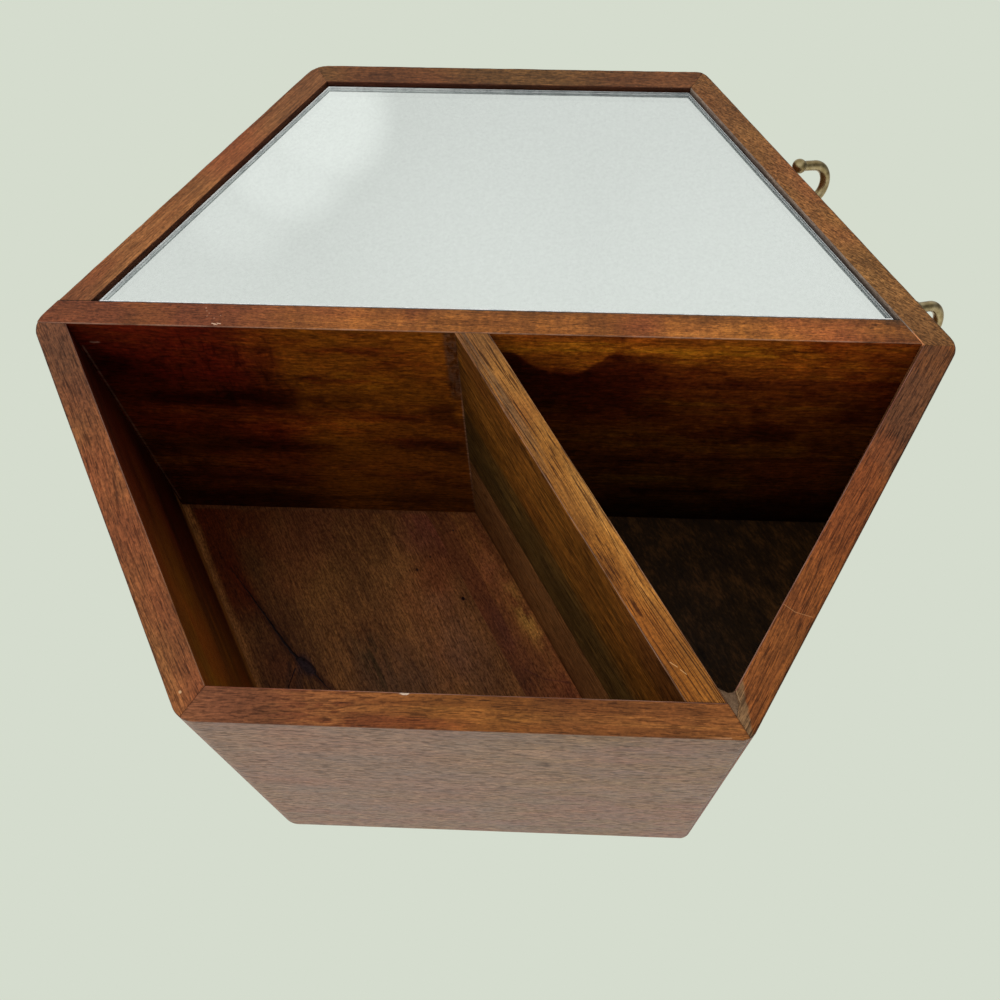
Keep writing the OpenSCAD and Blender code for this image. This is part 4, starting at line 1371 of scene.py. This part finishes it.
# outline in X-Z: board side first, then along the cut end of the lower left board, then the free side
bound = [(0, -0.02), (-5.58, -0.02), (-1.82, -3.58), (2.76, -4.8)]
free = [(2.95, -4.5), (3.3, -3.3), (3.6, -2.45), (4.4, -1.7), (5.5, -0.8), (6.45, -0.05)]
dense, is_free = [], []
loop = [(x, z, 0) for x, z in bound] + [(x, z, 1) for x, z in free]
for i, (x, z, f) in enumerate(loop):
    x2, z2, f2 = loop[(i + 1) % len(loop)]
    k = 5
    for j in range(k):
        dense.append((-SIDE_IN + x + (x2 - x) * j / k, z + (z2 - z) * j / k))
        is_free.append(1.0 if f and f2 else 0.0)
levels = [-DEPTH + 0.25 + x for x in (0, 0.4, 1.0, 1.8, 2.8, 4.2, 6, 8, 10.5, 13.5, 17, 21, 26, 32, 39, 47, 56, 66, 77, 90, 104, 120, 138)] + [PANEL_Y - 0.05]
verts = []
cx_, cz_ = -SIDE_IN + 0.6, -2.3
for k, y in enumerate(levels):
    for i, (x, z) in enumerate(dense):
        r = 0.02 + (0.05 if k == 0 else 0.02 if k == 1 else 0.0)
        r += is_free[i] * (0.35 if k == 0 else 0.12 if k == 1 else 0.0)
        r += is_free[i] * 0.55 * (0.5 + 0.5 * nz(x * 1.1, y * 0.3, z * 1.1 + 4))
        v = Vector((cx_ - x, 0, cz_ - z))
        v = v.normalized() * min(r, v.length * 0.3)
        dy = 0.25 * (0.5 + 0.5 * nz(x * 0.8, z * 0.8, 9)) + 0.1 * nz(x * 2.6, z * 2.6, 3) + 0.1 if k < 3 else 0.0
        verts.append(Vector((x + v.x, y + dy, z + v.z)))
m = len(dense)
faces = []
for k in range(len(levels) - 1):
    for i in range(m):
        j = (i + 1) % m
        faces.append((k * m + i, k * m + j, (k + 1) * m + j, (k + 1) * m + i))
# the lumpy front face: rings closing in on its middle
rings = 5
prev = list(range(m))
for q in range(1, rings):
    cur = []
    for i in range(m):
        a = verts[i]
        f = q / rings
        x, z = a.x + (cx_ - a.x) * f, a.z + (cz_ - a.z) * f
        y = -DEPTH + 0.3 + 0.25 * (0.5 + 0.5 * nz(x * 0.8, z * 0.8, 9)) + 0.14 * nz(x * 2.6, z * 2.6, 3)
        cur.append(len(verts))
        verts.append(Vector((x, y, z)))
    for i in range(m):
        j = (i + 1) % m
        faces.append((prev[j], prev[i], cur[i], cur[j]))
    prev = cur
verts.append(Vector((cx_, -DEPTH + 0.42, cz_)))
for i in range(m):
    faces.append((prev[(i + 1) % m], prev[i], len(verts) - 1))
verts.append(Vector((cx_, levels[-1], cz_)))
for i in range(m):
    j = (i + 1) % m
    faces.append((len(verts) - 1, (len(levels) - 1) * m + j, (len(levels) - 1) * m + i))
o = new_object("corner_filler_paste", verts, faces, [filler_mat], sharp=60)
place(o, "case", "filler", "corner_filler")

# ------------------------------------------------------------------ mirror
net = material("mirror_glass_clear")
smear = net.noise(net.mapping(net.obj, scale=(9, 9, 14)), detail=5, rough=0.65)
b = net.principled(srgb(249, 252, 249.5), net.span(smear, 0.35, 0.75, 0.0, 0.02), None, Transmission_Weight=1.0, IOR=1.5)
glass_mat = finish_material(net, b)

net = material("mirror_glass_edge")
s_ = net.node("ShaderNodeSeparateXYZ")
net.put(s_.inputs[0], net.obj)
ground = net.noise(net.obj, scale=1400, detail=2)
# painted highlights: bright glints over a near-white edge, which turns greyer lower down
glints = net.noise(net.mapping(net.obj, scale=(130, 130, 130)), detail=4, rough=0.75)
colour = net.ramp(glints, [(0.34, srgb(178, 184, 186)), (0.56, srgb(252, 254, 254))])
grey_ = net.ramp(glints, [(0.4, srgb(124, 130, 136)), (0.66, srgb(196, 200, 204))])
colour = net.mix(net.span(s_.outputs[2], -0.03, -0.10), colour, grey_)
colour = net.mix(net.span(s_.outputs[2], -0.150, -0.156), colour, srgb(112, 124, 130))
b = net.principled(colour, net.span(ground, 0.3, 0.7, 0.2, 0.4), net.bump(ground, 0.0001, 0.3), Specular_IOR_Level=0.7)
# painted light: the ground edge glows (emission), standing in for the light that the sheet carries to it; the glow is
# dimmer lower down
glow = net.mix(net.span(s_.outputs[2], 0.02, -0.08), colour, net.mix(1.0, colour, (0.3, 0.3, 0.32, 1.0), "MULTIPLY"))
net.put(b.inputs["Emission Color"], glow)
b.inputs["Emission Strength"].default_value = 0.22
edge_mat = finish_material(net, b)

net = material("mirror_glass_chamfer")
ground = net.noise(net.obj, scale=300, detail=3, rough=0.7)
colour = net.ramp(ground, [(0.35, srgb(214, 220, 222)), (0.6, srgb(252, 254, 254))])
b = net.principled(colour, net.span(ground, 0.3, 0.7, 0.12, 0.25), net.bump(ground, 0.00005, 0.3), Specular_IOR_Level=0.9)
chamfer_mat = finish_material(net, b)

net = material("mirror_silver")
haze = net.noise(net.mapping(net.obj, scale=(620, 620, 620)), detail=3, rough=0.7)
colour = net.ramp(haze, [(0.3, srgb(241, 245, 243)), (0.7, srgb(249, 253, 251))])
b = net.principled(colour, net.span(haze, 0.3, 0.8, 0.02, 0.03), None, Metallic=1.0)
silver_mat = finish_material(net, b)

net = material("mirror_back_paint")
speck = net.noise(net.obj, scale=420, detail=3)
colour = net.ramp(speck, [(0.3, srgb(96, 100, 102)), (0.7, srgb(122, 126, 128))])
paint_mat = finish_material(net, net.principled(colour, net.span(speck, 0.3, 0.7, 0.5, 0.65), net.bump(speck, 0.00005, 0.4)))


def mirror_outline(gap):
    h = hexagon(APO_IN - gap)
    return clip(h, (-e60.x, -e60.z), -(PART_OFF + T + gap))


glass = mirror_outline(GLASS_GAP)
o = plate("mirror_glass_pane", glass, Y_GLASS, Y_GLASS + GLASS_T - 0.01, 0.45, [glass_mat, edge_mat, silver_mat, chamfer_mat], (0, 1, 2, 3))
place(o, "case", "glass", "mirror_glass")
o = plate("mirror_silvering_coat", inset(glass, 0.05), Y_GLASS + GLASS_T + 0.03, Y_GLASS + GLASS_T + 0.2, 0.03, [paint_mat], (0, 0, 0))
place(o, "case", "silvering", "mirror_silvering")

net = material("foam_tape")
cell = net.voronoi(net.obj, scale=1800)
colour = net.ramp(cell, [(0.0, srgb(206, 206, 200)), (0.7, srgb(232, 232, 228))])
tape_mat = finish_material(net, net.principled(colour, net.span(cell, 0, 0.6, 0.7, 0.9), net.bump(cell, 0.0002, 0.5)))

hidden_wood = wood("backing_ply", 0.4, (7.7, 0.3, 0.2), RAW, rough=0.7, spec=0.2, rub=0.1)
cleat_wood = wood("cleat_pine", 0.0, (8.3, 0.1, 0.5), RAW, rough=0.65, spec=0.2, rub=0.1, pore=(4.0, 0.2, 0.68, 0.2))


def repaint(node, mat):
    me = nodes[node].data
    if not me.materials:
        me.materials.append(mat)
    for i in range(len(me.materials)):
        me.materials[i] = mat


repaint("mirror_tape", tape_mat)
repaint("mirror_backing_board", hidden_wood)
for node in ("cleat_partition", "cleat_upper_right", "cleat_lower_right", "cleat_bottom"):
    repaint(node, cleat_wood)

# ------------------------------------------------------------------ metal
net = material("antique_brass")
tarnish = net.noise(net.obj, scale=260, detail=4, rough=0.6)
scuff = net.noise(net.mapping(net.obj, scale=(1, 1, 0.25)), scale=2600, detail=2)
colour = net.ramp(tarnish, [(0.3, srgb(126, 108, 70)), (0.5, srgb(164, 146, 104)), (0.72, srgb(190, 174, 134))])
b = net.principled(
    colour,
    net.math("ADD", net.span(tarnish, 0.3, 0.7, 0.26, 0.36), net.span(scuff, 0.4, 0.7, 0.0, 0.05)),
    net.bump(scuff, 0.00001, 0.3),
    Metallic=1.0,
)
brass_mat = finish_material(net, b)

net = material("zinc_steel")
spangle = net.voronoi(net.obj, scale=900)
wipe = net.noise(net.obj, scale=300, detail=4)
colour = net.ramp(wipe, [(0.3, srgb(150, 150, 146)), (0.7, srgb(192, 192, 188))])
b = net.principled(colour, net.math("ADD", net.span(spangle, 0, 0.7, 0.24, 0.38), net.span(wipe, 0.4, 0.7, 0, 0.08)), net.bump(wipe, 0.00003, 0.4), Metallic=1.0)
steel_mat = finish_material(net, b)
repaint("panel_pins", steel_mat)
repaint("hanger_screws", steel_mat)


def sweep(name, path, radii, mats, sides=24, closed=False, up=Vector((0, 1, 0)), ride=None, **kw):
    """rings of the given radii round the path's points; each ring faces along the path"""
    verts, faces = [], []
    n = len(path)
    x = None
    for i, p in enumerate(path):
        a = path[i - 1] if (i or closed) else path[i]
        c = path[(i + 1) % n] if (i < n - 1 or closed) else path[i]
        t = kw.get("tangents", [None] * n)[i] or (c - a).normalized()
        side = up.cross(t)
        if side.length < 1e-6:
            side = Vector((1, 0, 0)).cross(t)
        side.normalize()
        other = t.cross(side).normalized()
        for k in range(sides):
            th = 2 * math.pi * k / sides
            verts.append(p + (side * math.cos(th) + other * math.sin(th)) * radii[i])
    for i in range(n if closed else n - 1):
        i2 = (i + 1) % n
        for k in range(sides):
            k2 = (k + 1) % sides
            faces.append((i * sides + k, i * sides + k2, i2 * sides + k2, i2 * sides + k))
    if not closed:
        faces.append(tuple(reversed(range(sides))))
        faces.append(tuple((n - 1) * sides + k for k in range(sides)))
    return new_object(name, verts, faces, mats, sharp=kw.get("sharp", 50))


WIRE, BALL, SHANK, BEND, BEND_A, TIP, TURN = 2.45, 3.5, 14.2, 9.0, 163.0, 9.4, 22.0


def hook(name, x, from_front, node):
    base = Vector((x, -DEPTH + from_front, -APO))
    a = math.radians(-90 + TURN)
    lx = Vector((math.cos(a), math.sin(a), 0))
    lz = Vector((0, 0, 1))
    path, radii, tang = [], [], []

    def add(p, r, t):
        path.append(base + p)
        radii.append(max(r, 0.05))
        tang.append(t)

    down = -lz
    # screwed end inside the board
    add(lz * 10.8, 0.3, down)
    add(lz * 9.6, 1.55, down)
    for k in range(6, -1, -1):
        for z, r in ((1.15, 1.72), (0.75, 2.25), (0.5, 2.25), (0.1, 1.72)):
            add(lz * (z + k * 1.3), r, down)
    # flange against the board, cast round, then the shank
    for z, r in (
        (-0.02, 1.72),
        (-0.02, 6.0),
        (-0.12, 6.15),
        (-0.62, 6.18),
        (-0.95, 6.0),
        (-1.25, 5.45),
        (-1.45, 4.7),
        (-1.62, 4.0),
        (-1.85, 3.45),
        (-2.25, 3.05),
        (-2.8, 2.72),
        (-3.5, 2.5),
        (-4.4, 2.44),
    ):
        add(lz * z, r, down)
    for k in range(1, 5):
        add(lz * (-4.4 - (SHANK - 4.4) * k / 5), 2.43, down)
    centre = lx * BEND - lz * SHANK
    steps = 40
    for k in range(steps + 1):
        th = math.radians(180 + BEND_A * k / steps)
        c, s = math.cos(th), math.sin(th)
        add(centre + (lx * c + lz * s) * BEND, 2.43, lx * -s + lz * c)
    th = math.radians(180 + BEND_A)
    tip0 = centre + (lx * math.cos(th) + lz * math.sin(th)) * BEND
    td = lx * -math.sin(th) + lz * math.cos(th)
    a0 = math.asin(2.38 / (BALL * 0.995))
    seat = TIP - BALL * 0.995 * math.cos(a0)
    for f in (0.15, 0.4, 0.65, 0.85, 0.96):
        add(tip0 + td * (seat * f), 2.38, td)
    for k in range(17):
        aa = math.pi - a0 - (math.pi - a0) * k / 17
        add(tip0 + td * (TIP + BALL * 0.995 * math.cos(aa)), BALL * 0.995 * math.sin(aa), td)
    add(tip0 + td * (TIP + BALL * 0.995), 0.02, td)
    side = lx.cross(lz)
    o = sweep(name, path, radii, [brass_mat], sides=40, up=side, tangents=tang, sharp=55)
    place(o, "case", "brass", node)
    return o


hook("hook_inner_brass", 17.8, 24.7, "hook_inner")
hook("hook_outer_brass", -74.4, 33.6, "hook_outer")

# ------------------------------------------------------------------ wall hangers on the back
PANEL_BACK = -5.0
EYE_R = 1.0 + 1.1 + 0.05 + 0.2
Y_EYE = PANEL_BACK + EYE_R
HZ = 118.0


def strap_piece(name, x, node):
    bm = bmesh.new()
    # plate with a round foot
    pts = []
    for k in range(17):
        a = math.pi + math.pi * k / 16
        pts.append((5.0 * math.cos(a), -26.0 + 5.0 * math.sin(a)))
    pts += [(5.0, -1.2), (-5.0, -1.2)]
    front, back_ = [], []
    for px, pz in pts:
        front.append(bm.verts.new(((x + px * 0.985) * MM, (PANEL_BACK + 0.985) * MM, (HZ + pz) * MM)))
        back_.append(bm.verts.new(((x + px * 0.985) * MM, (PANEL_BACK + 0.01) * MM, (HZ + pz) * MM)))
    bm.faces.new(front)
    bm.faces.new(list(reversed(back_)))
    for i in range(len(pts)):
        j = (i + 1) % len(pts)
        bm.faces.new((front[j], front[i], back_[i], back_[j]))
    bmesh.ops.recalc_face_normals(bm, faces=bm.faces)
    edges = [e for e in bm.edges if e.calc_face_angle(0) > 0.6]
    bmesh.ops.bevel(bm, geom=edges, offset=0.18 * MM, segments=2, affect="EDGES", profile=0.6)
    # the rolled eye: a tube wall, open by a slit towards the panel
    steps = 44
    ro, ri = EYE_R - 0.02, 1.1 + 0.055
    rings = []
    cuts = [-4.95, -4.8, -2.0, 2.0, 4.8, 4.95]
    for k in range(steps + 1):
        a = math.radians(200 - 372 * k / steps * 0.985)
        ring = []
        for c in cuts:
            e = 0.12 if abs(c) > 4.9 else 0.0
            ring.append(bm.verts.new(((x + c) * MM, (Y_EYE + (ro - e) * math.cos(a)) * MM, (HZ + (ro - e) * math.sin(a)) * MM)))
        for c in reversed(cuts):
            e = 0.08 if abs(c) > 4.9 else 0.0
            ring.append(bm.verts.new(((x + c) * MM, (Y_EYE + (ri + e) * math.cos(a)) * MM, (HZ + (ri + e) * math.sin(a)) * MM)))
        rings.append(ring)
    m = len(rings[0])
    for k in range(steps):
        for i in range(m):
            j = (i + 1) % m
            bm.faces.new((rings[k][i], rings[k][j], rings[k + 1][j], rings[k + 1][i]))
    bm.faces.new(rings[0])
    bm.faces.new(list(reversed(rings[-1])))
    bmesh.ops.recalc_face_normals(bm, faces=bm.faces)
    me = bpy.data.meshes.new(name)
    bm.to_mesh(me)
    bm.free()
    me.materials.append(steel_mat)
    me.shade_smooth()
    me.set_sharp_from_angle(angle=math.radians(40))
    o = bpy.data.objects.new(name, me)
    bpy.context.scene.collection.objects.link(o)
    place(o, "case", "steel", node)
    return o


def ring_piece(name, x, node, body):
    c = Vector((x, Y_EYE, HZ))
    pts = []
    for k in range(9):
        pts.append(Vector((-7 + 14 * k / 8, 0, 0)))
    for k in range(1, 9):
        a = math.radians(90 - 90 * k / 8)
        pts.append(Vector((7 + 2 * math.cos(a), 0, -2 + 2 * math.sin(a))))
    pts.append(Vector((9, 0, -3.5)))
    for k in range(0, 33):
        a = math.radians(-180 * k / 32)
        pts.append(Vector((9 * math.cos(a), 0, -5 + 9 * math.sin(a))))
    pts.append(Vector((-9, 0, -3.5)))
    for k in range(0, 8):
        a = math.radians(180 - 90 * k / 8)
        pts.append(Vector((-7 + 2 * math.cos(a), 0, -2 + 2 * math.sin(a))))
    path = [c + p for p in pts]
    o = sweep(name, path, [1.085] * len(path), [steel_mat], sides=20, closed=True, up=Vector((0, 1, 0)), sharp=60)
    place(o, body, "steel", node)
    return o


strap_piece("hanger_strap_left_plate", -60.0, "hanger_strap_left")
strap_piece("hanger_strap_right_plate", 60.0, "hanger_strap_right")
ring_piece("hanger_ring_left_wire", -60.0, "hanger_ring_left", "ring_left")
ring_piece("hanger_ring_right_wire", 60.0, "hanger_ring_right", "ring_right")

# ------------------------------------------------------------------ camera
F_PX, CX, CY = 998.3126, 528.7553, 504.2886
RIGHT = Vector((0.99926378, 0.03736278, -0.0087128))
DOWN = Vector((0.028456, -0.87412229, -0.48487161))
FORWARD = Vector((-0.02573221, 0.48426671, -0.87454194))
EYE = Vector((0.14862684, -1.3566027, 1.70147764))


def hung(v):
    """from the view's frame, where the case lies on its back, to the case's own"""
    return Vector((-0.5 * v.x + C30 * v.y, -v.z, -C30 * v.x - 0.5 * v.y))


cam_data = bpy.data.cameras.new("camera")
cam = bpy.data.objects.new("camera", cam_data)
bpy.context.scene.collection.objects.link(cam)
cam_data.sensor_width = 36.0
cam_data.lens = F_PX * 36.0 / 1000.0
cam_data.shift_x = -(CX - 500.0) / 1000.0
cam_data.shift_y = (CY - 500.0) / 1000.0
cam_data.clip_start = 0.02
cam_data.clip_end = 60.0
rx, ry, rz = hung(RIGHT), -hung(DOWN), -hung(FORWARD)
eye = hung(EYE) * 0.2 + Vector((0, -DEPTH * MM, 0))
m4 = Matrix((rx, ry, rz)).transposed().to_4x4()
m4.translation = eye
cam.matrix_world = m4
bpy.context.scene.camera = cam

# ------------------------------------------------------------------ floor, world and lights
scene = bpy.context.scene
scene.view_settings.view_transform = "Standard"
scene.view_settings.look = "None"
PALE = srgb(213, 220, 206)

me = bpy.data.meshes.new("floor")
bm = bmesh.new()
ring = [bm.verts.new((30 * math.cos(2 * math.pi * k / 64), 30 * math.sin(2 * math.pi * k / 64), -1.25)) for k in range(64)]
bm.faces.new(ring)
bm.to_mesh(me)
bm.free()
floor = bpy.data.objects.new("floor", me)
scene.collection.objects.link(floor)
fm = bpy.data.materials.new("floor_pale")
fm.use_nodes = True
ft = Net(fm.node_tree)
fm.node_tree.nodes.clear()
fe = ft.node("ShaderNodeEmission")
fe.inputs["Color"].default_value = PALE
fe.inputs["Strength"].default_value = 1.0
ft.t.links.new(fe.outputs[0], ft.node("ShaderNodeOutputMaterial").inputs["Surface"])
me.materials.append(fm)
floor.visible_diffuse = False
floor.visible_glossy = False
floor.visible_transmission = False
floor.visible_shadow = False

world = bpy.data.worlds.new("studio")
scene.world = world
world.use_nodes = True
wt = Net(world.node_tree)
world.node_tree.nodes.clear()
d = wt.node("ShaderNodeTexCoord").outputs["Generated"]


def lobe(dirn, outer, inner):
    return wt.span(wt.vmath("DOT_PRODUCT", d, direction(*dirn)), math.cos(math.radians(outer)), math.cos(math.radians(inner)))


BASE = 0.30
wall_side = lobe((-0.3, 0.9, 0.2), 100, 62)
front_low = lobe((-0.6, -0.7, 0.35), 85, 35)
left = lobe((0.30, -0.45, 0.84), 46, 22)
right = lobe((-0.4, -0.4, -0.82), 72, 30)
level = wt.math("ADD", BASE, wt.math("MULTIPLY", wall_side, 0.62))
level = wt.math("ADD", level, wt.math("MULTIPLY", front_low, 0.22))
level = wt.math("ADD", level, wt.math("MULTIPLY", left, 0.55))
level = wt.math("SUBTRACT", level, wt.math("MULTIPLY", right, 0.14))
level = wt.math("ADD", level, wt.math("MULTIPLY", lobe((-0.2, -0.97, 0.1), 50, 15), 0.4))
ahead = lobe((0.62, -0.69, -0.28), 70, 46)
level = wt.mixf(ahead, level, 0.715)
# what the glass shows: a window's soft-edged glare to one side, a paler wall to the other
glare_ = wt.math("MULTIPLY", lobe((0.762, -0.623, -0.178), 4.4, 2.0), 0.178)
glare_ = wt.math("MAXIMUM", glare_, wt.math("MULTIPLY", lobe((0.750, -0.648, -0.133), 4.2, 1.4), 0.148))
glare_ = wt.math("MAXIMUM", glare_, wt.math("MULTIPLY", lobe((0.742, -0.665, -0.084), 4.0, 1.0), 0.066))
level = wt.math("ADD", level, glare_)
level = wt.math("ADD", level, wt.math("MULTIPLY", lobe((0.508, -0.742, -0.437), 24, 4), 0.062))
level = wt.math("SUBTRACT", level, wt.math("MULTIPLY", lobe((0.677, -0.677, -0.288), 32, 22), 0.045))
pale = wt.math("MAXIMUM", lobe((0.539, -0.826, -0.166), 18, 5), lobe((0.381, -0.820, -0.427), 18, 5))
pale = wt.math("MAXIMUM", wt.math("MULTIPLY", pale, 0.7), lobe((0.613, -0.787, 0.075), 18, 5))
level = wt.math("ADD", level, wt.math("MULTIPLY", pale, 0.079))
tint = wt.mix(1.0, (0.995, 1.0, 0.985, 1.0), wt.grey(level), "MULTIPLY")
seen = wt.node("ShaderNodeLightPath").outputs["Is Camera Ray"]
colour = wt.mix(seen, tint, PALE)
bg = wt.node("ShaderNodeBackground")
wt.put(bg.inputs["Color"], colour)
bg.inputs["Strength"].default_value = 1.0
wo = wt.node("ShaderNodeOutputWorld")
wt.t.links.new(bg.outputs[0], wo.inputs["Surface"])


def softbox(name, where, size, power, colour=(1, 1, 1)):
    ld = bpy.data.lights.new(name, "AREA")
    ld.shape = "SQUARE"
    ld.size = size
    ld.energy = power
    ld.color = colour
    lo_ = bpy.data.objects.new(name, ld)
    scene.collection.objects.link(lo_)
    lo_.location = where
    lo_.rotation_euler = (Vector((0, -0.09, 0)) - Vector(where)).to_track_quat("-Z", "Y").to_euler()
    return lo_


key = softbox("key", direction(0.48, -0.755, 0.45) * 1.8, 1.0, 16.0, (1.0, 0.97, 0.93))
key.visible_glossy = False
key.visible_transmission = False
